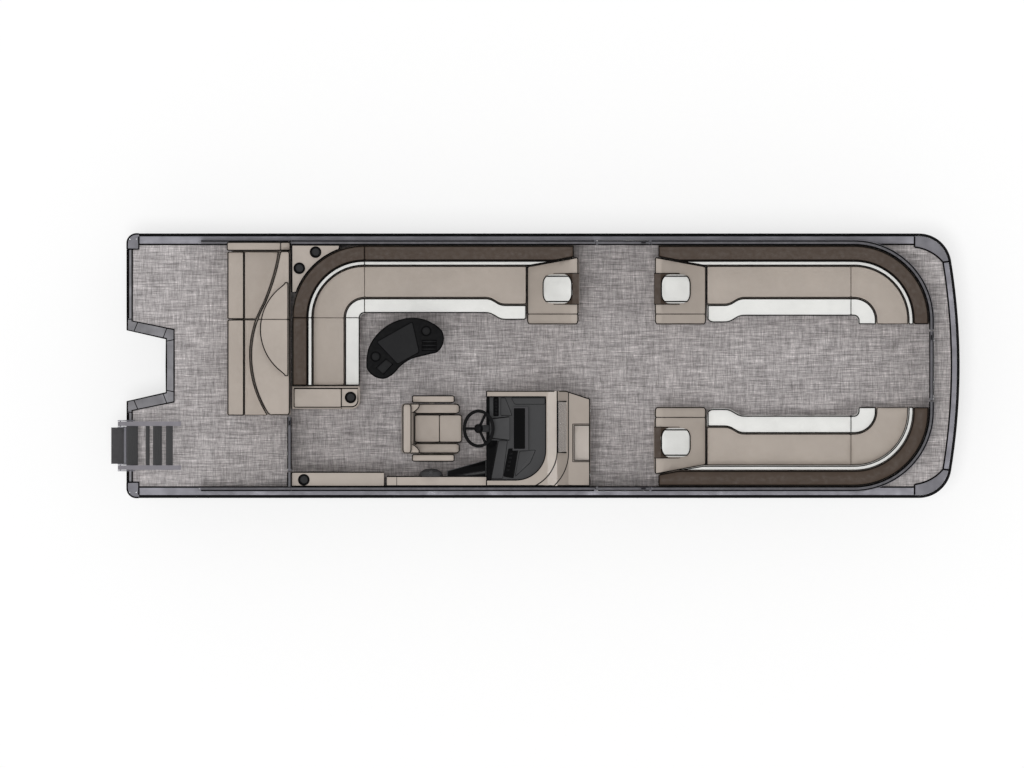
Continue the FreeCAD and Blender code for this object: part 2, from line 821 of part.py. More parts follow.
RUB_TOP = "(deck_height - rub_drop)"
rub_strip = slab("RubStrip", rectangle(
    AFT_EDGE + " + casting_length", CORNER_STATION + " - skin_gap",
    RAIL_FACE + " + skin_gap", "beam / 2"), RUB_TOP + " - rub_height", RUB_TOP)
bow_rub = slab("BowRub", [
    (CORNER_STATION, "-beam / 2", "bow_corner_radius"),
    bow_point("0", "-") + ("bow_radius",), bow_point("0") + ("bow_corner_radius",),
    (CORNER_STATION, "beam / 2"), (CORNER_STATION, "beam / 2 - rub_thickness + skin_gap",
                                   "-(bow_corner_radius - rub_thickness + skin_gap)"),
    bow_point("rub_thickness - skin_gap") + ("-(bow_radius - rub_thickness + skin_gap)",),
    bow_point("rub_thickness - skin_gap", "-") + ("-(bow_corner_radius - rub_thickness + skin_gap)",),
    (CORNER_STATION, "-(beam / 2 - rub_thickness + skin_gap)")],
    RUB_TOP + " - rub_height", RUB_TOP)
node("rub_strips", rub_strip, mirror(rub_strip), bow_rub)

# Stern strips and the trim round the motor notch, one welded frame

STERN_END = RAIL_FACE + " - casting_width - skin_gap"
stern_trim = slab("stern_trim", [
    (AFT_EDGE, "notch_mouth"), (AFT_EDGE, STERN_END), (TRIM_EDGE + " - skin_gap", STERN_END),
    (TRIM_EDGE + " - skin_gap", "notch_mouth + notch_trim_width"),
    (NOTCH_END + " - skin_gap", "notch_mouth - skin_gap"),
    (NOTCH_END + " - skin_gap", "-notch_mouth + skin_gap"),
    (TRIM_EDGE + " - skin_gap", "-notch_mouth - notch_trim_width"),
    (TRIM_EDGE + " - skin_gap", "-(%s)" % STERN_END), (AFT_EDGE, "-(%s)" % STERN_END),
    (AFT_EDGE, "-notch_mouth"), (AFT_EDGE + " + notch_depth", "-notch_inner"),
    (AFT_EDGE + " + notch_depth", "notch_inner")],
    "deck_height - rail_drop", "deck_height + rail_lip")
node("stern_trim", stern_trim)

# Transom plate with its four motor bolt holes, and the motor pod forward of it

TRANSOM_TOP = "(deck_height - rail_drop - transom_gap)"
transom = new_body("transom")
pad(transom, outline(transom, [
    ("-transom_half_width", "0"), ("-transom_half_width * 2 / 3", "-transom_drop"),
    ("transom_half_width * 2 / 3", "-transom_drop"), ("transom_half_width", "0")], "YZ_Plane"),
    "transom_thickness")
holes = transom.newObject("Sketcher::SketchObject", "BoltHoles")
holes.AttachmentSupport = [([part for part in transom.Origin.OriginFeatures
                             if part.Role == "YZ_Plane"][0], "")]
holes.MapMode = "FlatFace"
for side in (-1, 1):
    for height in ("-transom_bolt_drop", "-transom_bolt_drop - transom_bolt_up"):
        across = "%d * transom_bolt_across / 2" % side
        hole = holes.addGeometry(Part.Circle(FreeCAD.Vector(value(across), value(height), 0),
                                             FreeCAD.Vector(0, 0, 1), value("transom_bolt_radius")), False)
        for kind, text in (("DistanceX", across), ("DistanceY", height)):
            number = holes.addConstraint(Sketcher.Constraint(kind, -1, 1, hole, 3, value(text)))
            holes.setExpression("Constraints[%d]" % number, scoped(text))
        number = holes.addConstraint(Sketcher.Constraint("Radius", hole, value("transom_bolt_radius")))
        holes.setExpression("Constraints[%d]" % number, scoped("transom_bolt_radius"))
pocket(transom, holes, "transom_thickness", up=True)
place(transom, AFT_EDGE + " + notch_depth + transom_gap", "0", TRANSOM_TOP)
node("transom", transom)

pod = beam_across("motor_pod", [
    ("0", TRANSOM_TOP), ("0", "deck_height - pod_bottom_drop"),
    ("pod_heel_run", "deck_height - pod_bottom_drop"),
    ("pod_length", MEMBER_BOTTOM + " - skin_gap"),
    ("notch_trim_width", MEMBER_BOTTOM + " - skin_gap"),
    ("notch_trim_width", TRANSOM_TOP)], "2 * pod_half_width")
place(pod, AFT_EDGE + " + notch_depth + transom_gap + transom_thickness")
node("motor_pod", pod)

# Fences: a top rail, a bottom rail and posts, with a skin outside. The path runs along the side and
# turns through the bow corner.


FENCE_ARC_STATION = "(fence_front_station - fence_corner_radius)"
FENCE_ARC_BREADTH = "(fence_breadth - fence_corner_radius)"


def side_strip(low_station, high_station, inner, outer):
    """A straight strip along the side, between two offsets outwards from the fence's centreline."""
    return rectangle(low_station, high_station, "fence_breadth + " + inner, "fence_breadth + " + outer)


def bow_strip(low_station, low_breadth, inner, outer):
    """A strip along the side, round the corner and across the bow as far as a breadth."""
    return [
        (low_station, "fence_breadth + " + outer),
        (low_station, "fence_breadth + " + inner),
        (FENCE_ARC_STATION, "fence_breadth + " + inner, "-(fence_corner_radius + %s)" % inner),
        ("fence_front_station + " + inner, FENCE_ARC_BREADTH),
        ("fence_front_station + " + inner, low_breadth),
        ("fence_front_station + " + outer, low_breadth),
        ("fence_front_station + " + outer, FENCE_ARC_BREADTH, "fence_corner_radius + " + outer),
        (FENCE_ARC_STATION, "fence_breadth + " + outer)]


ON_RAIL = "rail_lip + skin_gap"
INWARD = "(-fence_tube / 2)"
OUTWARD = "(fence_tube / 2)"
BOTTOM_RAIL_TOP = "(fence_ground_gap + fence_tube)"
TOP_RAIL_BOTTOM = "(fence_height - fence_tube)"
LOW_RAIL_BOTTOM = "(fence_low_height - fence_tube)"


def post(body, station, breadth, height, foot="0"):
    """An upright of the fence between two heights, centred on a station and a breadth."""
    sketch = outline(body, rectangle(
        "%s - fence_tube / 2" % station, "%s + fence_tube / 2" % station,
        "%s - fence_tube / 2" % breadth, "%s + fence_tube / 2" % breadth), lift=foot)
    pad(body, sketch, "%s - (%s)" % (height, foot))


def aft_fence():
    body = new_body("AftFence")
    end = "side_gate_aft_station"
    pad(body, outline(body, side_strip("fence_aft_station", end, INWARD, OUTWARD),
                      lift="fence_ground_gap"), "fence_tube")
    pad(body, outline(body, side_strip("fence_step_station", end, INWARD, OUTWARD),
                      lift=TOP_RAIL_BOTTOM), "fence_tube")
    pad(body, outline(body, side_strip("fence_aft_station", "fence_step_station", INWARD, OUTWARD),
                      lift=LOW_RAIL_BOTTOM), "fence_tube")
    post(body, "(fence_aft_station + fence_tube / 2)", "fence_breadth", "fence_low_height", ON_RAIL)
    for station in ("(fence_step_station + fence_tube / 2)",
                    "((2 * fence_step_station + side_gate_aft_station) / 3)",
                    "((fence_step_station + 2 * side_gate_aft_station) / 3)",
                    "(side_gate_aft_station - fence_tube / 2)"):
        post(body, station, "fence_breadth", "fence_height", ON_RAIL)
    on_deck(body)
    return body


def bow_fence():
    body = new_body("BowFence")
    start = "(side_gate_aft_station + side_gate_width)"
    for lift in ("fence_ground_gap", TOP_RAIL_BOTTOM):
        pad(body, outline(body, bow_strip(start, "bow_gate_breadth", INWARD, OUTWARD), lift=lift),
            "fence_tube")
    for station in ("(%s + fence_tube / 2)" % start, "((%s + %s) / 2)" % (start, FENCE_ARC_STATION),
                    FENCE_ARC_STATION):
        post(body, station, "fence_breadth", "fence_height", ON_RAIL)
    for breadth in (FENCE_ARC_BREADTH, "(bow_gate_breadth + fence_tube / 2)"):
        post(body, "fence_front_station", breadth, "fence_height")
    on_deck(body)
    return body


def fence_skins():
    """The aft and bow skins: sheets on the outside of the frames, clear of the top rail's edge."""
    skin_in = "(fence_tube / 2 + skin_gap)"
    skin_out = "(fence_tube / 2 + skin_gap + skin_thickness)"
    low, high = "fence_ground_gap + skin_inset", "fence_height - skin_inset"
    aft = slab("AftSkin", side_strip("fence_step_station + skin_inset",
                                     "side_gate_aft_station - skin_inset", skin_in, skin_out), low, high)
    wing = outline(aft, side_strip("fence_aft_station + skin_inset",
                                   "fence_step_station + skin_inset", skin_in, skin_out), lift=low)
    pad(aft, wing, "fence_low_height - fence_ground_gap - 2 * skin_inset")
    bow = slab("BowSkin", bow_strip("side_gate_aft_station + side_gate_width + skin_inset",
                                    "bow_gate_breadth + skin_inset", skin_in, skin_out), low, high)
    on_deck(aft)
    on_deck(bow)
    return [aft, bow]


frames = [aft_fence(), bow_fence()]
skins = fence_skins()
node("fence_frame_port", *frames)
node("fence_skin_port", *skins)

# The stern fence is a short return from the starboard side to the stern gate's hinge post

STERN_HINGE_BREADTH = "(ledge_breadth - fence_tube / 2 - gate_gap)"
stern_return = new_body("SternReturn")
RETURN_END = "(fence_breadth - fence_tube / 2 - skin_gap)"
RETURN_START = "(%s + fence_tube / 2 + gate_gap)" % STERN_HINGE_BREADTH
for lift in ("fence_ground_gap", TOP_RAIL_BOTTOM):
    pad(stern_return, outline(stern_return, rectangle(
        "stern_gate_station - fence_tube / 2", "stern_gate_station + fence_tube / 2",
        "-" + RETURN_END, "-" + RETURN_START), lift=lift), "fence_tube")
for breadth in (RETURN_START + " + fence_tube / 2", RETURN_END + " - fence_tube / 2"):
    post(stern_return, "stern_gate_station", "(-(%s))" % breadth, "fence_height")
on_deck(stern_return)
node("fence_frame_starboard", *([mirror(frame) for frame in frames] + [stern_return]))
node("fence_skin_starboard", *[mirror(skin) for skin in skins])

# Gates. Each is drawn along +X from its hinge line, its skin on the +Y side, and then turned.


gate_pins = []


def outer_uprights(edge):
    """Whether an edge is one of a gate frame's four outer upright edges."""
    return upright_edges(edge) and edge.Length > value("fence_height - fence_ground_gap - 2 * fence_tube")


def gate(label, width, breadth_side, station, breadth, angle, foot="0"):
    """A gate's frame, skin and pin. The width is the opening's, the frame clears both posts."""
    length = "(%s - 2 * gate_gap)" % width
    frame = new_body("GateFrame")
    low = "(fence_ground_gap + gate_lift)"
    high = "fence_height"
    pad(frame, outlines(frame, [
        rectangle("-fence_tube / 2", length + " - fence_tube / 2", low, high),
        rectangle("fence_tube / 2", length + " - 3 * fence_tube / 2", low + " + fence_tube",
                  high + " - fence_tube")], "XZ_Plane"), "fence_tube", midplane=True)
    skin = new_body("GateSkin")
    skin_low = "(fence_tube / 2 + skin_gap)"
    side = breadth_side
    span = ("%s * %s" % (side, skin_low), "%s * (%s + skin_thickness)" % (side, skin_low))
    pad(skin, outline(skin, rectangle(
        "-fence_tube / 2 + skin_inset", length + " - fence_tube / 2 - skin_inset",
        span[0], span[1]), lift=low + " + skin_inset"),
        "%s - %s - 2 * skin_inset" % (high, low))
    round_edges(frame, outer_uprights, "gate_edge_radius")
    socket = outline(frame, rounded(*(["-gate_pin_radius - running_gap", "gate_pin_radius + running_gap"] * 2
                                      + ["(gate_pin_radius + running_gap - skin_gap)"])), lift=low)
    pocket(frame, socket, "gate_pin_rise - %s + running_gap" % low, up=True)
    for piece in (frame, skin):
        on_deck(piece, station, breadth, turn=(FreeCAD.Vector(0, 0, 1), angle))
    node(label + "_frame", frame)
    node(label + "_skin", skin)
    pin = turned("GatePin", [
        ("0", foot), ("gate_foot_radius", foot), ("gate_foot_radius", "gate_foot_height"),
        ("gate_pin_radius", "gate_foot_height"), ("gate_pin_radius", "gate_pin_rise"),
        ("0", "gate_pin_rise")])
    on_deck(pin, station, breadth)
    gate_pins.append(pin)


HINGE_STATION = "(side_gate_aft_station + gate_gap + fence_tube / 2)"
gate("port_gate", "side_gate_width", "1", HINGE_STATION, "fence_breadth", 0, ON_RAIL)
gate("starboard_gate", "side_gate_width", "-1", HINGE_STATION, "-fence_breadth", 0, ON_RAIL)
gate("bow_gate", "(2 * bow_gate_breadth)", "-1", "fence_front_station",
     "-bow_gate_breadth + gate_gap + fence_tube / 2", 90)
gate("stern_gate", "(%s + fence_tube / 2 + lounge_starboard_breadth + gate_gap)" % STERN_HINGE_BREADTH,
     "1", "stern_gate_station", "-" + STERN_HINGE_BREADTH, 90)
node("gate_pins", *gate_pins)

# Couches. Every layer is a band between two offsets inwards from the couch's outer face.

COUCH_BREADTH = "(fence_breadth - fence_tube / 2 - couch_clearance)"
AFT_ARC_STATION = "(couch_aft_station + couch_corner_radius)"
AFT_ARC_BREADTH = "(%s - couch_corner_radius)" % COUCH_BREADTH
BOW_CORNER = "(fence_corner_radius - fence_tube / 2 - couch_clearance)"
SEAT_START = "(back_thickness + facing_thickness + pad_gap)"
BAND_START = "(%s + seat_depth)" % SEAT_START


def aft_band(outer, inner, end_breadth, end_station):
    """An L-shaped band of the aft couch, from its athwart leg's end to its side leg's end."""
    return [
        ("couch_aft_station + " + inner, end_breadth),
        ("couch_aft_station + " + inner, AFT_ARC_BREADTH, "-(couch_corner_radius - %s)" % inner),
        (AFT_ARC_STATION, COUCH_BREADTH + " - " + inner),
        (end_station, COUCH_BREADTH + " - " + inner),
        (end_station, COUCH_BREADTH + " - " + outer),
        (AFT_ARC_STATION, COUCH_BREADTH + " - " + outer, "couch_corner_radius - " + outer),
        ("couch_aft_station + " + outer, AFT_ARC_BREADTH),
        ("couch_aft_station + " + outer, end_breadth)]


def bow_band(outer, inner, start_station, end_breadth):
    """A J-shaped band of a bow couch, along the side and round the bow corner."""
    return [
        (start_station, COUCH_BREADTH + " - " + outer),
        (start_station, COUCH_BREADTH + " - " + inner),
        (FENCE_ARC_STATION, COUCH_BREADTH + " - " + inner, "-(%s - %s)" % (BOW_CORNER, inner)),
        ("%s + %s - %s" % (FENCE_ARC_STATION, BOW_CORNER, inner), FENCE_ARC_BREADTH),
        ("%s + %s - %s" % (FENCE_ARC_STATION, BOW_CORNER, inner), end_breadth),
        ("%s + %s - %s" % (FENCE_ARC_STATION, BOW_CORNER, outer), end_breadth),
        ("%s + %s - %s" % (FENCE_ARC_STATION, BOW_CORNER, outer), FENCE_ARC_BREADTH,
         "%s - %s" % (BOW_CORNER, outer)),
        (FENCE_ARC_STATION, COUCH_BREADTH + " - " + outer)]


SEAT_TOP = "(base_height + seat_thickness)"
FLARE_ARC = "(flare_run ^ 2 + flare_reach ^ 2) / (4 * flare_reach)"
AFT_BAND_END = "(%s + aft_band_width)" % BAND_START
BOW_BAND_END = "(%s + bow_band_width)" % BAND_START
AFT_PAD_END = "(aft_chaise_station - chaise_length - pad_gap)"
BOW_PAD_START = "(bow_chaise_station + chaise_length + pad_gap)"


def s_curve(station, breadth, run, reach, aft_to_fore=True):
    """The three points of an S along a front edge that moves inboard towards a chaise."""
    turn = "-" if aft_to_fore else ""
    back = "" if aft_to_fore else "-"
    return [(station, breadth, turn + FLARE_ARC),
            ("%s + %s / 2" % (station, run), "%s - %s / 2" % (breadth, reach), back + FLARE_ARC),
            ("%s + %s" % (station, run), "%s - %s" % (breadth, reach))]


# The aft couch's seat and its pale front band, which both widen towards the chaise back

AFT_FLARE = "(%s - 2 * flare_run - flare_reach / 2)" % AFT_PAD_END
SEAT_FACE = "%s - %s" % (COUCH_BREADTH, BAND_START)
BAND_FACE = "%s - %s" % (COUCH_BREADTH, AFT_BAND_END)
seam = s_curve(AFT_FLARE, SEAT_FACE, "flare_run", "flare_reach")
edge = s_curve(AFT_FLARE, BAND_FACE, "flare_run", "flare_reach")
aft_seat = aft_band(SEAT_START, BAND_START, "aft_couch_end_breadth + pad_gap", AFT_PAD_END)
aft_seat[3:4] = seam + [(AFT_PAD_END, SEAT_FACE + " - flare_reach")]
aft_front = aft_band("(%s + pad_gap)" % BAND_START, AFT_BAND_END, "aft_couch_end_breadth + pad_gap",
                     AFT_PAD_END)
aft_front[3:4] = edge + [(AFT_PAD_END, BAND_FACE + " - flare_reach")]
aft_front[7:8] = [(AFT_PAD_END, SEAT_FACE + " - flare_reach - pad_gap")] + [
    (point[0], point[1] + " - pad_gap") + point[2:]
    for point in [(seam[2][0], seam[2][1], "-" + FLARE_ARC), (seam[1][0], seam[1][1], FLARE_ARC),
                  (seam[0][0], seam[0][1])]]

# Chaise backs. Each is drawn with its outer end at zero and its slope facing +X.

CHAISE_SLOPE = "(back_height - %s) / (chaise_length - chaise_top_length)" % SEAT_TOP


def on_slope(run, gap="0"):
    """The height of the slope at a distance from the chaise's outer end."""
    return "back_height - (%s - chaise_top_length) * %s + %s" % (run, CHAISE_SLOPE, gap)


def chaise_plan(gap, low, high):
    """The chaise's plan outline, grown by a gap, between two heights."""
    return slab("ChaisePlan", [
        ("-" + gap, "chaise_inner_breadth - %s + chaise_corner_radius" % gap),
        ("-%s + chaise_corner_radius" % gap, "chaise_inner_breadth - " + gap),
        ("chaise_length + %s - chaise_corner_radius" % gap, "chaise_inner_breadth - " + gap,
         "chaise_corner_radius"),
        ("chaise_length + " + gap, "chaise_inner_breadth - %s + chaise_corner_radius" % gap),
        ("chaise_length + " + gap, "chaise_outer_breadth - chaise_slant + " + gap),
        ("-" + gap, "chaise_outer_breadth + " + gap)], low, high)


chaise_side = beam_across("ChaiseSide", [
    ("0", "0"), ("chaise_length", "0"), ("chaise_length", SEAT_TOP),
    ("chaise_top_length", "back_height"), ("0", "back_height")], "2 * chaise_outer_breadth")
round_edges(chaise_side, lambda edge: edge.BoundBox.XLength < TOUCH and edge.BoundBox.ZLength < TOUCH
            and edge.BoundBox.ZMin > value("back_height") - TOUCH, "pad_edge_radius")
chaise_whole = doc.addObject("Part::Common", "ChaiseWhole")
chaise_whole.Base = chaise_plan("0", "0", "back_height")
chaise_whole.Tool = chaise_side
strap_space = beam_across("StrapSpace", [
    ("strap_thickness", "strap_low_height"), ("strap_thickness", "back_height - strap_thickness"),
    ("chaise_top_length - strap_thickness / 2", "back_height - strap_thickness"),
    ("strap_end", on_slope("strap_end", "-strap_thickness")),
    ("strap_end", "back_height + strap_thickness"), ("-strap_thickness", "back_height + strap_thickness"),
    ("-strap_thickness", "strap_low_height")], "strap_width")
place(strap_space, "0", "headrest_breadth")
strap_whole = doc.addObject("Part::Common", "StrapWhole")
strap_whole.Base = chaise_whole
strap_whole.Tool = strap_space
chaise = cut(chaise_whole, strap_space)
pillow_plan = slab("PillowPlan", rounded(
    "headrest_inset", "headrest_inset + headrest_length", "headrest_breadth - headrest_width / 2",
    "headrest_breadth + headrest_width / 2", "headrest_corner_radius"), "0", "2 * back_height")
pillow_side = beam_across("PillowSide", [
    ("0", on_slope("0", "skin_gap")), ("chaise_length", on_slope("chaise_length", "skin_gap")),
    ("chaise_length", on_slope("chaise_length", "headrest_thickness")),
    ("0", on_slope("0", "headrest_thickness"))], "2 * chaise_outer_breadth")
pillow = doc.addObject("Part::Common", "Pillow")
pillow.Base = pillow_plan
pillow.Tool = pillow_side


def at_chaises(piece):
    """A chaise piece at its three places: port bow, starboard bow and aft couch."""
    port = doc.addObject("Part::Compound", "PortPlace")
    port.Links = [piece]
    on_deck(port, "bow_chaise_station")
    aft = doc.addObject("Part::Compound", "AftPlace")
    aft.Links = [mirror(piece)]
    on_deck(aft, "aft_chaise_station", turn=(FreeCAD.Vector(0, 0, 1), 180))
    return [port, mirror(port), aft]


node("chaise_backs", *at_chaises(chaise))
node("chaise_straps", *at_chaises(strap_whole))
node("headrests", *at_chaises(pillow))

# Couch bases, seats, front bands, facings and backs

bow_seam = "%s - %s" % (COUCH_BREADTH, BAND_START)
bow_face = "%s - %s" % (COUCH_BREADTH, BOW_BAND_END)


def widened(points, face, gap="0"):
    """A bow couch outline whose front edge moves inboard at its aft end, by an S."""
    first = points[1]
    start = (first[0], "%s - flare_reach" % face)
    rise = [("%s + flare_run" % BOW_PAD_START, "%s - flare_reach" % face, FLARE_ARC),
            ("%s + 3 * flare_run / 2" % BOW_PAD_START, "%s - flare_reach / 2" % face, "-" + FLARE_ARC),
            ("%s + 2 * flare_run" % BOW_PAD_START, face)]
    return [points[0], start] + rise + points[2:]


bow_seat = widened(bow_band(SEAT_START, BAND_START, BOW_PAD_START, "bow_couch_end_breadth"), bow_seam)
bow_front = widened(bow_band("(%s + pad_gap)" % BAND_START, BOW_BAND_END, BOW_PAD_START,
                             "bow_couch_end_breadth"), bow_face)
bow_front = [(BOW_PAD_START, bow_seam + " - flare_reach - pad_gap")] + bow_front[1:] + [
    ("%s + 2 * flare_run" % BOW_PAD_START, bow_seam + " - pad_gap", FLARE_ARC),
    ("%s + 3 * flare_run / 2" % BOW_PAD_START, bow_seam + " - flare_reach / 2 - pad_gap",
     "-" + FLARE_ARC),
    ("%s + flare_run" % BOW_PAD_START, bow_seam + " - flare_reach - pad_gap")]
AFT_BASE_INNER = "(%s - base_recess)" % AFT_BAND_END
BOW_BASE_INNER = "(%s - base_recess)" % BOW_BAND_END
PAD_LOW = "base_height + skin_gap"


def with_foot(base, outline_points, space):
    """A couch base joined to the plinth under the back, clear of the chaise."""
    whole = doc.addObject("Part::MultiFuse", "BaseWhole")
    whole.Shapes = [base, slab("CouchFoot", outline_points, "0", "base_height")]
    return cut(whole, space)


def bow_couch():
    """The port bow couch's base, seat, front band, facing and back."""
    end = "bow_couch_end_breadth"
    base = slab("CouchBase", bow_band("0", BOW_BASE_INNER, BOW_PAD_START, end), "0", "base_height")
    seat = slab("CouchSeat", bow_seat, PAD_LOW, SEAT_TOP, "pad_edge_radius")
    band = slab("CouchBand", bow_front, PAD_LOW, SEAT_TOP, "pad_edge_radius")
    facing = slab("CouchFacing", bow_band("(back_thickness + skin_gap)",
                                          "(back_thickness + facing_thickness)",
                                          "bow_couch_aft_station", end), PAD_LOW, "facing_height")
    back = slab("CouchBack", bow_band("0", "back_thickness", "bow_couch_aft_station", end),
                PAD_LOW, "back_height", "pad_edge_radius")
    space = chaise_plan("pad_gap", "0", "2 * back_height")
    place(space, "bow_chaise_station")
    base = with_foot(base, bow_band("0", "back_thickness", "bow_couch_aft_station", end), space)
    pieces = [base, seat, band, cut(facing, space), cut(back, space)]
    return [on_deck_whole(piece) for piece in pieces]


def aft_couch():
    """The aft couch's base, seat, front band, facing and back."""
    end = "aft_couch_end_breadth + pad_gap"
    base = slab("CouchBase", aft_band("0", AFT_BASE_INNER, end, AFT_PAD_END), "0", "base_height")
    seat = slab("CouchSeat", aft_seat, PAD_LOW, SEAT_TOP, "pad_edge_radius")
    band = slab("CouchBand", aft_front, PAD_LOW, SEAT_TOP, "pad_edge_radius")
    facing = slab("CouchFacing", aft_band("(back_thickness + skin_gap)",
                                          "(back_thickness + facing_thickness)", end,
                                          "aft_couch_end_station"), PAD_LOW, "facing_height")
    back = slab("CouchBack", aft_band("0", "back_thickness", end, "aft_couch_end_station"),
                PAD_LOW, "back_height", "pad_edge_radius")
    space = doc.addObject("Part::Compound", "AftChaiseSpace")
    space.Links = [mirror(chaise_plan("pad_gap", "0", "2 * back_height"))]
    place(space, "aft_chaise_station", turn=(FreeCAD.Vector(0, 0, 1), 180))
    base = with_foot(base, aft_band("0", "back_thickness", end, "aft_couch_end_station"), space)
    pieces = [base, seat, band, cut(facing, space), cut(back, space)]
    return [on_deck_whole(piece) for piece in pieces]


bow_base, bow_seat_pad, bow_band_pad, bow_facing, bow_back = bow_couch()
aft_base, aft_seat_pad, aft_band_pad, aft_facing, aft_back = aft_couch()
node("port_couch_base", bow_base)
node("port_couch_seat", bow_seat_pad)
node("port_couch_back", bow_back)
node("starboard_couch_base", mirror(bow_base))
node("starboard_couch_seat", mirror(bow_seat_pad))
node("starboard_couch_back", mirror(bow_back))
node("aft_couch_base", aft_base)
node("aft_couch_seat", aft_seat_pad)
node("aft_couch_back", aft_back)
node("seat_front_bands", bow_band_pad, mirror(bow_band_pad), aft_band_pad)
node("back_facings", bow_facing, mirror(bow_facing), aft_facing)

# Cup holders and what they drop into


def cup_hole(station, breadth, height):
    """The space that a cup holder takes in the piece that carries it."""
    hole = doc.addObject("Part::Cylinder", "CupHole")
    hole.setExpression("Radius", scoped("cup_radius + cup_wall + skin_gap"))
    hole.setExpression("Height", scoped("cup_depth + cup_wall + 2 * skin_gap + pad_gap"))
    place(hole, station, breadth, "%s - cup_depth - cup_wall - skin_gap" % height)
    return hole


def cup_holder(station, breadth, height):
    cup = turned("Cup", [
        ("0", "-cup_depth - cup_wall"), ("cup_radius + cup_wall", "-cup_depth - cup_wall"),
        ("cup_radius + cup_wall", "0"), ("cup_flange_radius", "0"), ("cup_flange_radius", "cup_lip"),
        ("cup_radius", "cup_lip"), ("cup_radius", "-cup_depth"), ("0", "-cup_depth")])
    on_deck(cup, station, breadth, height + " + skin_gap")
    return cup


CORNER_GRIP = "sqrt((couch_corner_radius + pad_gap) ^ 2 - console_corner_cusp ^ 2)"
corner = slab("CornerConsole", [
    ("couch_aft_station", AFT_ARC_BREADTH + " + console_corner_cusp"),
    (AFT_ARC_STATION + " - " + CORNER_GRIP, AFT_ARC_BREADTH + " + console_corner_cusp",
     "-(couch_corner_radius + pad_gap)"),
    (AFT_ARC_STATION + " - console_corner_cusp", AFT_ARC_BREADTH + " + " + CORNER_GRIP),
    (AFT_ARC_STATION + " - console_corner_cusp", COUCH_BREADTH),
    ("couch_aft_station", COUCH_BREADTH)], "0", "console_corner_height")
corner_cups = [("first_cup_station", "first_cup_breadth", "console_corner_height"),
               ("second_cup_station", "second_cup_breadth", "console_corner_height")]
node("corner_console", on_deck_whole(cut(corner, *[cup_hole(*cup) for cup in corner_cups])))

arm = slab("Arm", [
    ("couch_aft_station", "aft_couch_end_breadth - arm_width"),
    ("couch_aft_station + %s - arm_corner_radius" % AFT_BAND_END, "aft_couch_end_breadth - arm_width",
     "arm_corner_radius"),
    ("couch_aft_station + " + AFT_BAND_END, "aft_couch_end_breadth - arm_width + arm_corner_radius"),
    ("couch_aft_station + " + AFT_BAND_END, "aft_couch_end_breadth"),
    ("couch_aft_station", "aft_couch_end_breadth")], "0", "arm_height", "pad_edge_radius")
arm_cup = ("arm_cup_station", "-arm_cup_breadth", "arm_height")
node("aft_couch_arm", on_deck_whole(cut(arm, cup_hole(*arm_cup))))

ledge = slab("Ledge", rectangle("couch_aft_station", "ledge_fore_station", "-" + COUCH_BREADTH,
                                "-ledge_breadth"), "0", "ledge_height")
ledge_cup = ("ledge_cup_station", "-ledge_cup_breadth", "ledge_height")
node("cup_holders", *[cup_holder(*cup) for cup in corner_cups + [arm_cup, ledge_cup]])

# Aft lounge, which faces aft: base, seat pads, a back with an S-shaped leading edge, and a half-moon pad

lounge_base = slab("lounge_base", rectangle(
    "lounge_aft_station + lounge_base_recess", "lounge_fore_station - skin_inset",
    "lounge_starboard_breadth + pad_gap", "fence_breadth - fence_tube / 2 - couch_clearance"),
    "0", "base_height")
on_deck(lounge_base)
node("lounge_base", lounge_base)

BOLSTER_EDGE = "(lounge_port_breadth - lounge_bolster_width)"


def lounge_back_outline(gap):
    """The lounge back's outline, its leading edge moved aft by a gap."""
    return [
        ("lounge_edge_station - " + gap, BOLSTER_EDGE, "-lounge_port_curve"),
        ("lounge_turn_station - " + gap, "lounge_turn_breadth", "lounge_main_curve"),
        ("lounge_end_station - " + gap, "lounge_starboard_breadth"),
        ("lounge_fore_station - skin_inset", "lounge_starboard_breadth"),
        ("lounge_fore_station - skin_inset", BOLSTER_EDGE)]


lounge_back = slab("LoungeBack", lounge_back_outline("0"), PAD_LOW, "lounge_back_height",
                   "lounge_edge_radius")
on_deck(lounge_back)
moon = slab("HalfMoon", [
    ("lounge_fore_station - skin_inset - pad_edge_radius", "moon_breadth + moon_half_width", "moon_radius"),
    ("lounge_fore_station - skin_inset - pad_edge_radius", "moon_breadth - moon_half_width")],
    "lounge_back_height + skin_gap", "lounge_back_height + moon_thickness", "moon_edge_radius")
on_deck(moon)
node("lounge_back", lounge_back, moon)
pads = []
ROLL_END = "(lounge_aft_station + lounge_roll_length)"
for low, high in (("lounge_starboard_breadth", "lounge_split_breadth - pad_gap / 2"),
                  ("lounge_split_breadth + pad_gap / 2", BOLSTER_EDGE + " - pad_gap")):
    pads.append(slab("LoungeRoll", rectangle("lounge_aft_station", ROLL_END, low, high), PAD_LOW,
                     SEAT_TOP, "pad_edge_radius"))
    main_pad = slab("LoungePad", rectangle(ROLL_END + " + pad_gap", "lounge_edge_station", low, high),
                    PAD_LOW, SEAT_TOP)
    back_space = slab("BackSpace", lounge_back_outline("pad_gap"), "0", "lounge_back_height")
    pads.append(cut(main_pad, back_space))
bolster = slab("SideBolster", rectangle(
    "lounge_aft_station", "fence_step_station - pad_gap", BOLSTER_EDGE, "lounge_port_breadth"),
    "fence_low_height + skin_gap", "lounge_bolster_height", "pad_edge_radius")
node("lounge_seat", *[on_deck_whole(piece) for piece in pads + [bolster]])

# Helm console: a shell with a raised cowl, a low forward section, and room for the knees aft

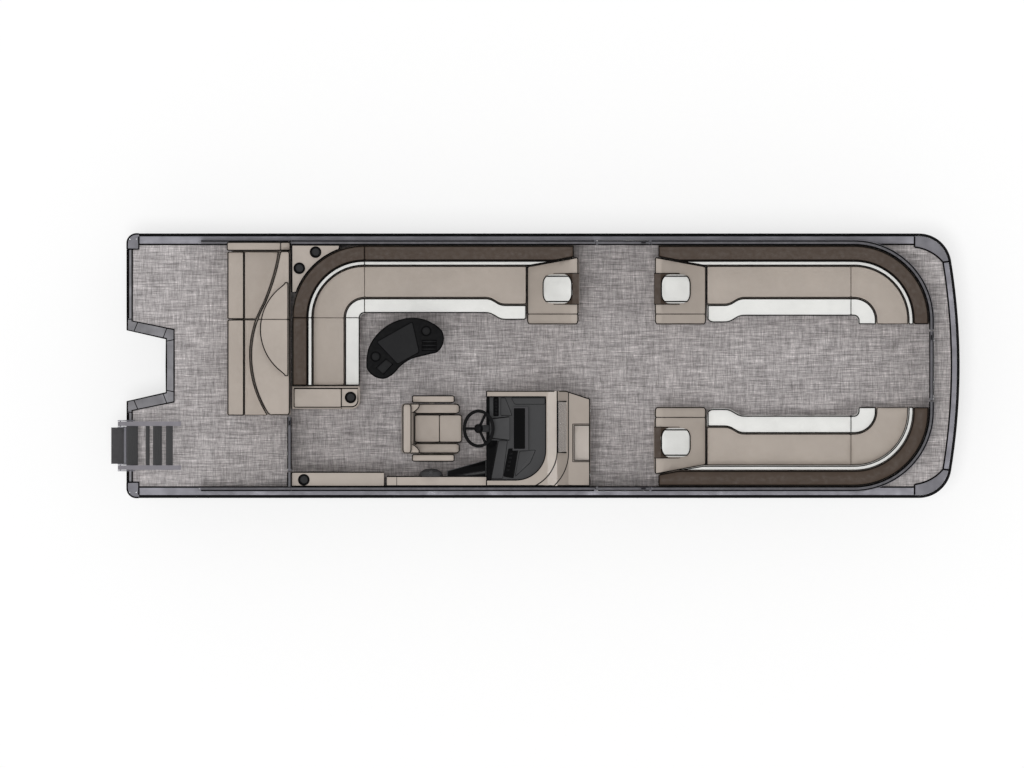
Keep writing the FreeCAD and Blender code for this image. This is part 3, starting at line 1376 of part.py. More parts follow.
CONSOLE_MIDDLE = "(-(console_inner_breadth + console_outer_breadth) / 2)"
DASH_SLOPE = "((console_height - console_dash_height) / (cowl_aft_station - console_aft_station))"
shell = beam_across("ConsoleShell", [
    ("console_knee_station", "0"), ("console_fore_station", "0"),
    ("console_fore_station", "console_front_height"),
    ("screen_station + dash_depth", "console_shoulder_height"), ("cowl_fore_station", "console_height"),
    ("cowl_aft_station", "console_height"), ("console_aft_station", "console_dash_height"),
    ("console_aft_station", "console_dash_height - dash_depth"),
    ("console_knee_station", "console_knee_height")], "console_outer_breadth - console_inner_breadth")
place(shell, "0", CONSOLE_MIDDLE)
shell_trimmed = common("ShellTrimmed", shell, slab("ShellPlan", [
    ("console_aft_station", "-console_outer_breadth"), ("console_fore_station", "-console_outer_breadth"),
    ("console_fore_station", "-console_inner_breadth - console_bevel"),
    ("console_fore_station - 3 * console_bevel", "-console_inner_breadth"),
    ("console_aft_station", "-console_inner_breadth")], "0", "console_height"))


def dash_line(station, drop):
    """The height of the cowl's sloping line at a station, less a drop."""
    return "console_dash_height + (%s - console_aft_station) * %s - (%s)" % (station, DASH_SLOPE, drop)


DASH_AFT = "(console_aft_station + dash_margin)"
DASH_FORE = "(cowl_aft_station - dash_margin)"
recess = beam_across("DashRecess", [
    ("console_aft_station - dash_margin", dash_line("(console_aft_station - dash_margin)", "dash_depth")),
    (DASH_FORE, dash_line(DASH_FORE, "dash_depth")), (DASH_FORE, "console_height + dash_depth"),
    ("console_aft_station - dash_margin", "console_height + dash_depth")],
    "console_outer_breadth - console_inner_breadth - 2 * wing_width")


def outboard_fore_edge(edge):
    """Whether an edge is the dash's upright one at its forward outboard corner."""
    box = edge.BoundBox
    return upright_edges(edge) and box.YMax < 0 and box.XMin > value(DASH_FORE + " - pad_gap")


round_edges(recess, outboard_fore_edge, "dash_corner_radius")
place(recess, "0", CONSOLE_MIDDLE)
tray_space = slab("TraySpace", rectangle(
    "console_fore_station - console_tray_length", "console_fore_station + pad_gap",
    "-console_outer_breadth + console_tray_inset",
    "-console_outer_breadth + console_tray_inset + console_tray_width"),
    "console_front_height - console_tray_sink", "console_height")
shell_cut = cut(shell_trimmed, recess, tray_space)
node("console_shell", on_deck_whole(shell_cut))

dash = beam_across("Dash", [
    (DASH_AFT, dash_line(DASH_AFT, "dash_depth - skin_gap")),
    (DASH_FORE + " - skin_gap", dash_line(DASH_FORE, "dash_depth - skin_gap")),
    (DASH_FORE + " - skin_gap", dash_line(DASH_FORE, "dash_sink")),
    (DASH_AFT, dash_line(DASH_AFT, "dash_sink"))],
    "console_outer_breadth - console_inner_breadth - 2 * wing_width - 2 * skin_gap")
place(dash, "0", CONSOLE_MIDDLE)
DASH_INNER = "-console_inner_breadth - wing_width - skin_gap"
DASH_OUTER = "-console_outer_breadth + wing_width + skin_gap"
dash_trimmed = common("DashTrimmed", dash, slab("DashPlan", [
    (DASH_AFT, DASH_INNER), (DASH_AFT, DASH_OUTER),
    (DASH_FORE + " - dash_corner_radius", DASH_OUTER, "dash_corner_radius - skin_gap"),
    (DASH_FORE + " - skin_gap", DASH_OUTER + " + dash_corner_radius - skin_gap"),
    (DASH_FORE + " - skin_gap", DASH_INNER)], "0", "console_height"))


def raised_on_dash(label, start, length, width, aft_rise, fore_rise):
    """A block on the dash's slope before the wheel, from just under its face to two rises over it."""
    end = "(%s + %s)" % (start, length)
    block = beam_across(label, [
        (start, dash_line(start, "dash_sink + pad_gap")), (end, dash_line(end, "dash_sink + pad_gap")),
        (end, dash_line(end, "dash_sink - " + fore_rise)),
        (start, dash_line(start, "dash_sink - " + aft_rise))], width)
    place(block, "0", "-wheel_breadth")
    return block


dash_screen = raised_on_dash("DashScreen", "dash_screen_station", "dash_screen_length",
                             "dash_screen_width", "dash_screen_rise", "dash_screen_rise")
shroud_plan = slab("ShroudPlan", [
    ("shroud_station", "-shroud_aft_width / 2"),
    ("shroud_station + shroud_length", "-shroud_width / 2"),
    ("shroud_station + shroud_length", "shroud_width / 2"),
    ("shroud_station", "shroud_aft_width / 2")], "0", "console_height")
place(shroud_plan, "0", "-wheel_breadth")
shroud = common("Shroud", raised_on_dash("ShroudBlock", "shroud_station", "shroud_length",
                                         "shroud_width", "shroud_rise", "shroud_rise / 3"), shroud_plan)
WHEEL_TURN = (FreeCAD.Vector(0, 1, 0), -value("wheel_tilt"))
column = doc.addObject("Part::Cylinder", "Column")
column.setExpression("Radius", scoped("column_radius"))
column.setExpression("Height", scoped("column_length"))
column_drop = "(wheel_hub_depth + running_gap + column_length)"
place(column, "wheel_station + %s * sin(wheel_tilt)" % column_drop, "-wheel_breadth",
      "wheel_height - %s * cos(wheel_tilt)" % column_drop, WHEEL_TURN)
dash_and_column = doc.addObject("Part::MultiFuse", "DashAndColumn")
dash_and_column.Shapes = [dash_trimmed, cut(column, shell_cut), dash_screen, shroud]
side_wing = slab("SideWing", [
    ("console_aft_station - skin_gap - side_wing_length", "-pod_inner_breadth + skin_gap"),
    ("console_aft_station - skin_gap", "-pod_inner_breadth + skin_gap"),
    ("console_aft_station - skin_gap", "-pod_inner_breadth + skin_gap + side_wing_width"),
    ("console_aft_station - skin_gap - side_wing_length",
     "-pod_inner_breadth + skin_gap + side_wing_tip")],
    "pod_height - side_wing_thickness", "pod_height")
node("console_dash", on_deck_whole(dash_and_column), on_deck_whole(side_wing))

SCREEN_FOOT = ("(screen_station + dash_depth + skin_gap - 2 * dash_sink * (screen_station + dash_depth"
               " - cowl_fore_station) / (console_height - console_shoulder_height))")
screen = beam_across("windscreen", [
    (SCREEN_FOOT, "console_shoulder_height + 2 * dash_sink"),
    (SCREEN_FOOT + " + screen_thickness", "console_shoulder_height + 2 * dash_sink"),
    ("screen_station + screen_thickness - dash_margin",
     "console_shoulder_height + dash_sink + screen_height"),
    ("screen_station - dash_margin", "console_shoulder_height + dash_sink + screen_height")],
    "2 * screen_half_width")
on_deck(screen, "0", "-screen_breadth")
node("windscreen", screen)

side_pod = slab("SidePod", rectangle(
    "pod_aft_station", "console_aft_station - skin_gap", "-console_outer_breadth", "-pod_inner_breadth"),
    "0", "pod_height")
node("side_consoles", on_deck_whole(cut(ledge, cup_hole(*ledge_cup))), on_deck_whole(side_pod))

# Throttle: a dome on the side pod's inner face with a lever

# The dome's corners as shares of its radius and its depth
DOME_SHARES = [(0, 0), (1, 0), (0.86, 0.55), (0.5, 0.92), (0, 1)]
dome = new_body("ThrottleDome")
dome_sketch = outline(dome, [("throttle_radius * %s" % across, "throttle_depth * %s" % deep)
                             for across, deep in DOME_SHARES], "XY_Plane")
dome_turn = dome.newObject("PartDesign::Revolution", "Turn")
dome_turn.Profile = dome_sketch
dome_turn.ReferenceAxis = (dome_sketch, ["V_Axis"])
dome_turn.Angle = 360
lever = doc.addObject("Part::Cylinder", "Lever")
lever.setExpression("Radius", scoped("lever_radius"))
lever.setExpression("Height", scoped("lever_length"))
place(lever, "0", "throttle_depth / 2", "0")
knob = doc.addObject("Part::Sphere", "Knob")
knob.setExpression("Radius", scoped("lever_knob_radius"))
place(knob, "0", "throttle_depth / 2", "lever_length")
throttle = doc.addObject("Part::MultiFuse", "Throttle")
throttle.Shapes = [dome, lever, knob]
on_deck(throttle, "throttle_station", "-pod_inner_breadth + skin_gap", "throttle_height")
node("throttle", throttle)

# Steering wheel: rim, hub and three spokes, one pointing aft

rim = doc.addObject("Part::Torus", "Rim")
rim.setExpression("Radius1", scoped("wheel_radius - wheel_rim_radius"))
rim.setExpression("Radius2", scoped("wheel_rim_radius"))
hub = doc.addObject("Part::Cylinder", "Hub")
hub.setExpression("Radius", scoped("wheel_hub_radius"))
hub.setExpression("Height", scoped("wheel_hub_depth + wheel_rim_radius"))
place(hub, "0", "0", "-wheel_hub_depth")
spokes = []
for angle in (60, 180, 300):
    spoke = slab("Spoke", rectangle("0", "wheel_radius - wheel_rim_radius", "-wheel_spoke_width / 2",
                                    "wheel_spoke_width / 2"),
                 "-wheel_spoke_thickness / 2", "wheel_spoke_thickness / 2")
    spoke.Placement = FreeCAD.Placement(FreeCAD.Vector(),
                                        FreeCAD.Rotation(FreeCAD.Vector(0, 0, 1), angle))
    spokes.append(spoke)
wheel = doc.addObject("Part::MultiFuse", "Wheel")
wheel.Shapes = [rim, hub] + spokes
on_deck(wheel, "wheel_station", "-wheel_breadth", "wheel_height", WHEEL_TURN)
node("steering_wheel", wheel)

# Helm chair, drawn about its own swivel axis, facing +X

PAD_BOTTOM = "(chair_shell_height + chair_shell_thickness + skin_gap)"


def at_chair(piece):
    """A finished piece of the chair, moved to the chair's place."""
    holder = doc.addObject("Part::Compound", "AtChair")
    holder.Links = [piece]
    on_deck(holder, "chair_station", "-wheel_breadth")
    return holder


chair_shell = slab("ChairShell", rounded(
    "-chair_aft_reach + chair_corner_radius / 2", "chair_fore_reach - chair_corner_radius",
    "-chair_half_width + pad_gap", "chair_half_width - pad_gap", "chair_corner_radius"),
    "chair_shell_height", "chair_shell_height + chair_shell_thickness")
swivel_plate = doc.addObject("Part::Cylinder", "SwivelPlate")
swivel_plate.setExpression("Radius", scoped("pedestal_plate_radius"))
swivel_plate.setExpression("Height", scoped("pedestal_foot_height"))
place(swivel_plate, "0", "0", "chair_shell_height - pedestal_foot_height")
posts = [slab("ArmPost", rectangle(
    "-arm_post_width / 2", "arm_post_width / 2", "chair_half_width + skin_gap",
    "chair_half_width + arm_post_thickness"), "chair_shell_height",
    "chair_arm_height - chair_arm_thickness")]
lug = slab("ArmLug", rectangle(
    "-arm_post_width / 2", "arm_post_width / 2", "chair_half_width - 2 * pad_gap",
    "chair_half_width + arm_post_thickness"), "chair_shell_height",
    "chair_shell_height + arm_post_thickness")
posts.append(lug)
posts += [mirror(post_piece) for post_piece in posts]
chair_frame = doc.addObject("Part::MultiFuse", "ChairFrame")
chair_frame.Shapes = [chair_shell, swivel_plate] + posts
node("helm_chair_frame", at_chair(chair_frame))
centre_pad = slab("CentrePad", rounded(
    "-chair_aft_reach + chair_back_thickness + pad_gap", "chair_fore_reach", "-chair_pad_half_width",
    "chair_pad_half_width", "pad_edge_radius"), PAD_BOTTOM, "chair_seat_height", "pad_edge_radius")
side_pad = slab("SidePad", rounded(
    "-chair_aft_reach + chair_back_thickness + pad_gap", "chair_fore_reach - pad_edge_radius",
    "chair_pad_half_width + pad_gap", "chair_half_width", "pad_edge_radius"),
    PAD_BOTTOM, "chair_seat_height + chair_bolster_rise", "pad_edge_radius")
arm_pad = slab("ArmPad", rounded(
    "-chair_arm_aft", "chair_arm_fore", "chair_arm_reach - chair_arm_width", "chair_arm_reach",
    "chair_arm_radius"), "chair_arm_height - chair_arm_thickness + skin_gap", "chair_arm_height",
    "pad_edge_radius / 2")
seat_pieces = [centre_pad, side_pad, mirror(side_pad), arm_pad, mirror(arm_pad)]
node("helm_seat", *[at_chair(piece) for piece in seat_pieces])
chair_back = slab("ChairBack", rounded(
    "-chair_aft_reach", "-chair_aft_reach + chair_back_thickness", "-chair_half_width",
    "chair_half_width", "chair_corner_radius"), PAD_BOTTOM, "chair_back_height", "pad_edge_radius")
BACK_FACE = "-chair_aft_reach + chair_back_thickness"
chair_wing = slab("ChairWing", [
    ("-chair_aft_reach + chair_corner_radius", "chair_half_width - chair_wing_breadth"),
    (BACK_FACE, "chair_half_width - chair_wing_breadth"),
    (BACK_FACE + " + chair_wing_reach", "chair_half_width - chair_wing_edge"),
    (BACK_FACE + " + chair_wing_reach", "chair_half_width"),
    ("-chair_aft_reach + chair_corner_radius", "chair_half_width")],
    "chair_seat_height + chair_bolster_rise + pad_gap", "chair_back_height - chair_wing_drop")
winged_back = doc.addObject("Part::MultiFuse", "WingedBack")
winged_back.Shapes = [chair_back, chair_wing, mirror(chair_wing)]
node("helm_back", at_chair(winged_back))

# Pedestals of the chair and the table, and the kidney-shaped table top

chair_pedestal = turned("ChairPedestal", [
    ("0", "0"), ("pedestal_foot_radius", "0"), ("pedestal_foot_radius", "pedestal_foot_height"),
    ("pedestal_radius", "3 * pedestal_foot_height"),
    ("pedestal_radius", "chair_shell_height - pedestal_foot_height - running_gap"),
    ("0", "chair_shell_height - pedestal_foot_height - running_gap")])
on_deck(chair_pedestal, "chair_station", "-wheel_breadth")
table_leg = turned("TableLeg", [
    ("0", "0"), ("table_foot_radius", "0"), ("table_foot_radius", "pedestal_foot_height"),
    ("table_leg_radius", "3 * pedestal_foot_height"),
    ("table_leg_radius", "table_height - table_thickness - 3 * pedestal_foot_height"),
    ("table_foot_radius * 2 / 3", "table_height - table_thickness - pedestal_foot_height"),
    ("table_foot_radius * 2 / 3", "table_height - table_thickness - skin_gap"),
    ("0", "table_height - table_thickness - skin_gap")])
on_deck(table_leg, "table_leg_station", "table_leg_breadth")
node("pedestals", chair_pedestal, table_leg)

# The table's outline, recesses and cup places as shares of its length and width
KIDNEY_SHARES = [(0.033, 0.497, -0.622), (0.577, 1.0, -0.518), (0.967, 0.80, -0.215), (0.902, 0.425),
                 (0.659, 0.351, 0.493), (0.415, 0.163, -0.346), (0.253, 0.0, -0.224),
                 (0.009, 0.183, -0.724)]
kidney = [("table_length * %s" % shares[0], "table_width * %s" % shares[1])
          + tuple("table_length * (%s)" % share for share in shares[2:]) for shares in KIDNEY_SHARES]
table_top = slab("TableTop", kidney, "0", "table_thickness")
round_edges(table_top, upright_edges, "table_corner_radius")
round_edges(table_top, level_edges("table_thickness"), "table_edge_radius")

CUP_SHARES = [(0.771, 0.781), (0.126, 0.361)]
TRAY_SHARES = [(0.260, 0.325), (0.345, 0.236), (0.224, 0.068), (0.135, 0.174)]
SLOT_LENGTH_SHARES = (0.715, 0.905)
SLOT_WIDTH_SHARES = (0.465, 0.650)


def sunk_in_table(points):
    """A shallow recess in the table's top with a given outline."""
    return slab("Recess", points, "table_thickness - table_tray_depth", "table_thickness + pad_gap")


recesses = [sunk_in_table([("table_length * %s" % along, "table_width * %s" % across)
                           for along, across in TRAY_SHARES])]
slot_pitch = "(table_width * (%s - %s) / 3)" % SLOT_WIDTH_SHARES[::-1]
for order in range(3):
    foot = "(table_width * %s + %d * %s)" % (SLOT_WIDTH_SHARES[0], order, slot_pitch)
    recesses.append(sunk_in_table(rectangle(
        "table_length * %s" % SLOT_LENGTH_SHARES[0], "table_length * %s" % SLOT_LENGTH_SHARES[1],
        foot, "%s + %s - table_slot_gap" % (foot, slot_pitch))))
for along, across in CUP_SHARES:
    cup_recess = doc.addObject("Part::Cylinder", "CupRecess")
    cup_recess.setExpression("Radius", scoped("table_cup_radius"))
    cup_recess.setExpression("Height", scoped("table_cup_depth + pad_gap"))
    place(cup_recess, "table_length * %s" % along, "table_width * %s" % across,
          "table_thickness - table_cup_depth")
    recesses.append(cup_recess)
table_holder = doc.addObject("Part::Compound", "TablePlace")
table_holder.Links = [cut(table_top, *recesses)]
on_deck(table_holder, "table_station", "table_breadth", "table_height - table_thickness")
node("table_top", table_holder)

# Boarding ladder. The hinge lies aft of the deck's edge; the ladder leans forward over the deck.

LADDER_PLACE = ("-ladder_hinge_overhang", "0", "ladder_hinge_height")
lugs = []
for rail in ("ladder_port_breadth", "ladder_starboard_breadth"):
    for side in (-1, 1):
        face = "(-%s %+d * (ladder_rail_width / 2 + lug_gap))" % (rail, side)
        lug = new_body("Lug")
        lug_outline = outline(lug, [
            ("-lug_reach", "-lug_reach"), ("lug_reach", "-lug_reach"),
            ("ladder_hinge_overhang", "rail_lip + skin_gap - ladder_hinge_height"),
            ("ladder_hinge_overhang + lug_foot", "rail_lip + skin_gap - ladder_hinge_height"),
            ("ladder_hinge_overhang + lug_foot", "rail_lip + lug_thickness - ladder_hinge_height"),
            ("lug_reach", "lug_reach"), ("-lug_reach", "lug_reach")], "XZ_Plane")
        pad(lug, lug_outline, "lug_thickness", down=side > 0)
        place(lug, "0", face)
        lugs.append(lug)
pins = []
for rail in ("ladder_port_breadth", "ladder_starboard_breadth"):
    pin = doc.addObject("Part::Cylinder", "LadderPin")
    pin.setExpression("Radius", scoped("ladder_pin_radius"))
    pin.setExpression("Height", scoped("ladder_rail_width + 2 * lug_gap + 2 * lug_thickness"))
    place(pin, "0", "-%s + (ladder_rail_width / 2 + lug_gap + lug_thickness)" % rail, "0",
          (FreeCAD.Vector(1, 0, 0), 90))
    pins.append(pin)
LUG_INNER = "(ladder_rail_width / 2 + lug_gap)"
cross_tube = doc.addObject("Part::Cylinder", "CrossTube")
cross_tube.setExpression("Radius", scoped("ladder_rail_thickness / 2"))
cross_tube.setExpression("Height", scoped(
    "ladder_starboard_breadth - ladder_port_breadth - 2 * %s" % LUG_INNER))
place(cross_tube, "ladder_hinge_overhang - ladder_rail_thickness / 2",
      "-ladder_port_breadth - %s" % LUG_INNER, "0", (FreeCAD.Vector(1, 0, 0), 90))
brackets = doc.addObject("Part::MultiFuse", "LadderBrackets")
brackets.Shapes = lugs + pins + [cross_tube]
on_deck(brackets, *LADDER_PLACE)
node("ladder_brackets", brackets)

plate = slab("boarding_plate", rectangle(
    "-boarding_plate_aft", "-boarding_plate_aft + boarding_plate_length",
    "-ladder_starboard_breadth + %s + lug_thickness + skin_gap" % LUG_INNER,
    "-ladder_port_breadth - %s - lug_thickness - skin_gap" % LUG_INNER),
    "-boarding_plate_sink - boarding_plate_thickness", "-boarding_plate_sink")
on_deck(plate, *LADDER_PLACE)
node("boarding_plate", plate)

LADDER_TURN = (FreeCAD.Vector(0, 1, 0), -value("ladder_lean"))
rails = []
for rail in ("ladder_port_breadth", "ladder_starboard_breadth"):
    body = new_body("LadderRail")
    pad(body, outline(body, rectangle("-ladder_tail", "ladder_length", "-ladder_rail_thickness / 2",
                                      "ladder_rail_thickness / 2"), "XZ_Plane"),
        "ladder_rail_width", midplane=True)
    place(body, "0", "-" + rail)
    hole = doc.addObject("Part::Cylinder", "PinHole")
    hole.setExpression("Radius", scoped("ladder_pin_radius + running_gap"))
    hole.setExpression("Height", scoped("2 * ladder_rail_width"))
    place(hole, "0", "-%s + ladder_rail_width" % rail, "0", (FreeCAD.Vector(1, 0, 0), 90))
    rails.append(cut(body, hole))
ladder_rails = doc.addObject("Part::Compound", "ladder_rails")
ladder_rails.Links = rails
on_deck(ladder_rails, *LADDER_PLACE, turn=LADDER_TURN)
node("ladder_rails", ladder_rails)

treads = []
TREAD_SPAN = "ladder_starboard_breadth - ladder_port_breadth - ladder_rail_width - 2 * skin_gap"
for order in ("first", "second", "third", "fourth"):
    tread = new_body("Tread")
    depth = "%s_tread_depth" % order
    pad(tread, outline(tread, rounded(
        "-tread_thickness / 2", "tread_thickness / 2", "-%s / 2" % depth, "%s / 2" % depth,
        "(tread_thickness / 3)"), "XZ_Plane"), TREAD_SPAN, midplane=True)
    place(tread, "%s_tread_run" % order, "-(ladder_port_breadth + ladder_starboard_breadth) / 2", "0",
          (FreeCAD.Vector(0, 1, 0), -value("tread_angle")))
    treads.append(tread)
ladder_treads = doc.addObject("Part::Compound", "ladder_treads")
ladder_treads.Links = treads
on_deck(ladder_treads, *LADDER_PLACE, turn=LADDER_TURN)
node("ladder_treads", ladder_treads)

# Every object is checked before anything is written

doc.recompute()
for item in doc.Objects:
    if "Invalid" in item.State or "Error" in item.State:
        raise RuntimeError("%s did not build: %s" % (item.Name, item.State))
for item in nodes:
    if item.Shape.isNull() or not item.Shape.isValid():
        raise RuntimeError("%s has no valid shape" % item.Label)
os.makedirs("parts", exist_ok=True)
for item in nodes:
    item.Shape.exportStep("parts/%s.step" % item.Label)
print("%d nodes" % len(nodes))
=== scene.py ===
import math

import bmesh
import bpy
import numpy as np
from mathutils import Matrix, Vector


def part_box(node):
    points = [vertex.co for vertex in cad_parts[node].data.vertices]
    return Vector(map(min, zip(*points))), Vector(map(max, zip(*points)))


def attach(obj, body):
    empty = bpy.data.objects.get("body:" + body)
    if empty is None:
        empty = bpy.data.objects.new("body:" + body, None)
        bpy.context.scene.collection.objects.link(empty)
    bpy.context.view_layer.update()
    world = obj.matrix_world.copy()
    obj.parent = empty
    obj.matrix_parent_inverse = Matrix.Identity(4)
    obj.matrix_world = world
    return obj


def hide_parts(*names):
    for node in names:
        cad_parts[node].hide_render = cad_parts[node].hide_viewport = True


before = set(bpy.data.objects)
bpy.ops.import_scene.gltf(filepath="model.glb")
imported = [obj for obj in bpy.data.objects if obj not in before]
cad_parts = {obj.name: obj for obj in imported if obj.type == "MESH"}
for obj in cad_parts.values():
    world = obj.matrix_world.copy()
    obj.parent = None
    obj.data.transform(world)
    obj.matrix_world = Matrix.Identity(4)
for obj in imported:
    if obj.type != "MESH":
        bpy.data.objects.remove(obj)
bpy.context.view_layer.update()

# Plan places are in deck millimetres: stations run forward from the deck's aft edge, breadths to
# port and heights up from the deck's top. Meshes are in metres in the frame of the CAD pieces.

AFT_EDGE = -4.002
DECK_TOP = 0.8
SEAT_LOW = 290.3
SEAT_TOP = 430
COUCH_FACE = 1180
FLARE, FLARE_RUN = 66, 180
BOW_START, BOW_CHAISE, AFT_CHAISE = 5207, 5167, 4426
CHAISE_OUTER, CHAISE_RUN, CHAISE_SLANT = 1064, 507, 95
LOUNGE_AFT = 980
HELM_SWIVEL = (2985, -615, 0)
FENCE_MIDDLE, FENCE_TOP, RAIL_HALF = 1204, 690, 17
PANEL_FACE = 1227.3
SIDES = (1, -1)

# Points nearer than DOUBLES metres are one, and a course's legs are cut every LEG_STEP millimetres.
# The camera sees PLAN_WIDTH metres about PLAN_CENTRE.

DOUBLES = 1e-5
LEG_STEP = 12
CLOTH_FRAMES = 20
NOISE_ROUGHNESS = 0.55
SKY_LIGHT, FLOOR_GLOW = 0.62, 0.62
PLAN_WIDTH, PLAN_CENTRE = 10.025, (-0.2296, -0.179)


def deck(station, breadth, height):
    """Points in the frame from stations, breadths and heights in millimetres."""
    station, breadth, height = np.broadcast_arrays(station, breadth, height)
    return np.stack((AFT_EDGE + station / 1000, breadth / 1000, DECK_TOP + height / 1000), -1)


# Materials


def tone(red, green, blue):
    """A linear colour from display levels of 0 to 255."""
    level = np.array((red, green, blue)) / 255
    linear = np.where(level <= 0.04045, level / 12.92, ((level + 0.055) / 1.055) ** 2.4)
    return (*linear.tolist(), 1.0)


class Finish:
    """A material on Object coordinates, built up in layers of colour, roughness and relief."""

    def __init__(self, name, colour, roughness, metallic=0.0, coat=0.0, **more):
        self.material = bpy.data.materials.new(name)
        self.material.use_nodes = True
        self.material.diffuse_color = colour
        self.tree = self.material.node_tree
        self.tree.nodes.clear()
        self.shader, out = self.add("BsdfPrincipled"), self.add("OutputMaterial")
        self.give(out.inputs[0], self.shader.outputs[0])
        self.put(self.shader, Base_Color=colour, Roughness=roughness, Metallic=metallic,
                 Coat_Weight=coat, **more)
        self.place = self.add("TexCoord").outputs["Object"]

    def add(self, kind, **values):
        node = self.tree.nodes.new("ShaderNode" + kind)
        for name, setting in values.items():
            setattr(node, name, setting)
        return node

    def give(self, socket, given):
        """Sets an input from a value or from another node's output."""
        if isinstance(given, bpy.types.NodeSocket):
            self.tree.links.new(given, socket)
        else:
            socket.default_value = given

    def put(self, node, **values):
        """Sets a node's inputs by name, with _ for a blank."""
        for name, given in values.items():
            self.give(node.inputs[name.replace("_", " ")], given)
        return node

    def fill(self, node, *values):
        """Sets a node's first inputs in their order."""
        for socket, given in zip(node.inputs, values):
            self.give(socket, given)
        return node.outputs[0]

    def carry(self, name, socket):
        """Hands what feeds an input of the shader on to a socket, and returns the input."""
        base = self.shader.inputs[name]
        self.give(socket, base.links[0].from_socket if base.is_linked else base.default_value)
        return base

    def spread(self, stretch):
        return self.put(self.add("Mapping"), Vector=self.place, Scale=stretch).outputs[0]

    def noise(self, scale, stretch=(1, 1, 1), detail=3.0):
        """Noise with features of about 1 / scale metres, drawn out where stretch is below 1."""
        return self.put(self.add("TexNoise"), Vector=self.spread(stretch), Scale=scale,
                        Detail=detail, Roughness=NOISE_ROUGHNESS).outputs[0]

    def cells(self, scale):
        node = self.add("TexVoronoi")
        return self.put(node, Vector=self.spread((1, 1, 1)), Scale=scale).outputs[0]

    def waves(self, scale, axis, distortion):
        """Bands across an axis, scale / 0.314 to the metre."""
        return self.put(self.add("TexWave", bands_direction=axis), Vector=self.place, Scale=scale,
                        Distortion=distortion, Detail=2.0).outputs[1]

    def fit(self, factor, low, high, start=0.3, end=0.7):
        """The factor between start and end, carried over to low and high."""
        return self.fill(self.add("MapRange"), factor, start, end, low, high)

    def times(self, one, other):
        return self.fill(self.add("Math", operation="MULTIPLY"), one, other)

    def tint(self, factor, colour):
        """Mixes a second colour over the present one by a factor."""
        node = self.add("Mix", data_type="RGBA")
        base = self.carry("Base Color", node.inputs[6])
        self.give(node.inputs[7], colour)
        self.give(node.inputs[0], factor)
        self.give(base, node.outputs[2])
        return self

    def shade(self, factor, amount):
        """Darkens and lightens the colour by a share, from a factor about a half."""
        node = self.add("HueSaturation")
        base = self.carry("Base Color", node.inputs["Color"])
        self.put(node, Value=self.fit(factor, 1 - amount, 1 + amount))
        self.give(base, node.outputs[0])
        return self

    def gloss(self, factor, low, high):
        self.put(self.shader, Roughness=self.fit(factor, low, high))
        return self

    def relief(self, height, depth, strength=1.0):
        """Adds bumps of a depth in metres."""
        node = self.put(self.add("Bump"), Height=height, Distance=depth, Strength=strength)
        self.give(self.carry("Normal", node.inputs["Normal"]), node.outputs[0])
        return self

    def low_grime(self, top, colour, amount):
        """A stain that fades upwards to nothing at a height in metres."""
        parts = self.put(self.add("SeparateXYZ"), Vector=self.place)
        height = self.fit(parts.outputs[2], amount, 0.0, 0.0, top)
        return self.tint(self.times(height, self.noise(5, (1, 1, 2))), colour)


def vinyl(name, colour):
    """Marine vinyl: leather grain, soft creases and a slightly uneven sheen."""
    skin = Finish(name, colour, 0.5, Sheen_Weight=0.02, Specular_IOR_Level=0.22)
    skin.shade(skin.noise(3.1), 0.05).shade(skin.noise(420, detail=1), 0.035)
    skin.gloss(skin.noise(26), 0.42, 0.6)
    skin.relief(skin.cells(620), 0.00022).relief(skin.noise(230), 0.00012)
    return skin.relief(skin.noise(9, (1, 1, 0.6)), 0.0035, 0.45).material


def brushed(name, colour, roughness, stretch, grime=0.0, metallic=0.9):
    """Aluminium with a drawn grain, handling marks and dulled patches."""
    metal = Finish(name, colour, roughness, metallic, Specular_IOR_Level=0.2)
    metal.shade(metal.noise(160, stretch), 0.05).shade(metal.noise(2.3), 0.035)
    metal.gloss(metal.noise(7), roughness - 0.07, roughness + 0.1)
    metal.relief(metal.noise(190, stretch), 0.0001).relief(metal.noise(30), 0.00012, 0.4)
    if grime:
        metal.low_grime(grime, tone(96, 98, 88), 1.1)
    return metal.material


def coated(name, colour, roughness, peel=0.00012, metallic=0.0, coat=0.0, shine=0.4):
    """Powder coat or moulded skin: fine orange peel, faint scuffs and dust."""
    paint = Finish(name, colour, roughness, metallic, coat, Specular_IOR_Level=shine)
    paint.shade(paint.noise(4.3), 0.045).shade(paint.noise(700, detail=1), 0.03)
    paint.gloss(paint.noise(33, (1, 1, 0.4)), roughness - 0.06, roughness + 0.09)
    paint.relief(paint.noise(520, detail=1), peel)
    return paint.relief(paint.noise(3.5), 0.0012, 0.3).material


def deck_vinyl():
    """Woven vinyl flooring: streaks of lighter and darker yarn both ways over a fine weave."""
    weave = Finish("deck_vinyl", tone(171, 166, 166), 0.72, Specular_IOR_Level=0.15)
    for scale, stretch, amount in (
            (34, (0.08, 1, 1), 0.18), (34, (1, 0.12, 1), 0.12), (96, (0.06, 1, 1), 0.36),
            (96, (1, 0.08, 1), 0.27), (260, (0.1, 1, 1), 0.2), (260, (1, 0.1, 1), 0.2)):
        weave.shade(weave.noise(scale, stretch, 2), amount)
    for stretch, share, colour in (((0.1, 1, 1), 0.26, (112, 102, 102)),
                                   ((1, 0.1, 1), 0.24, (204, 203, 203))):
        weave.tint(weave.fit(weave.noise(66, stretch, 3), 0.0, share, 0.56, 0.72), tone(*colour))
    weave.shade(weave.noise(2.4), 0.04)
    yarns = weave.times(weave.waves(120, "X", 1.2), weave.waves(120, "Y", 1.2))
    return weave.relief(yarns, 0.0006).relief(weave.noise(40, detail=2), 0.0004, 0.4).material


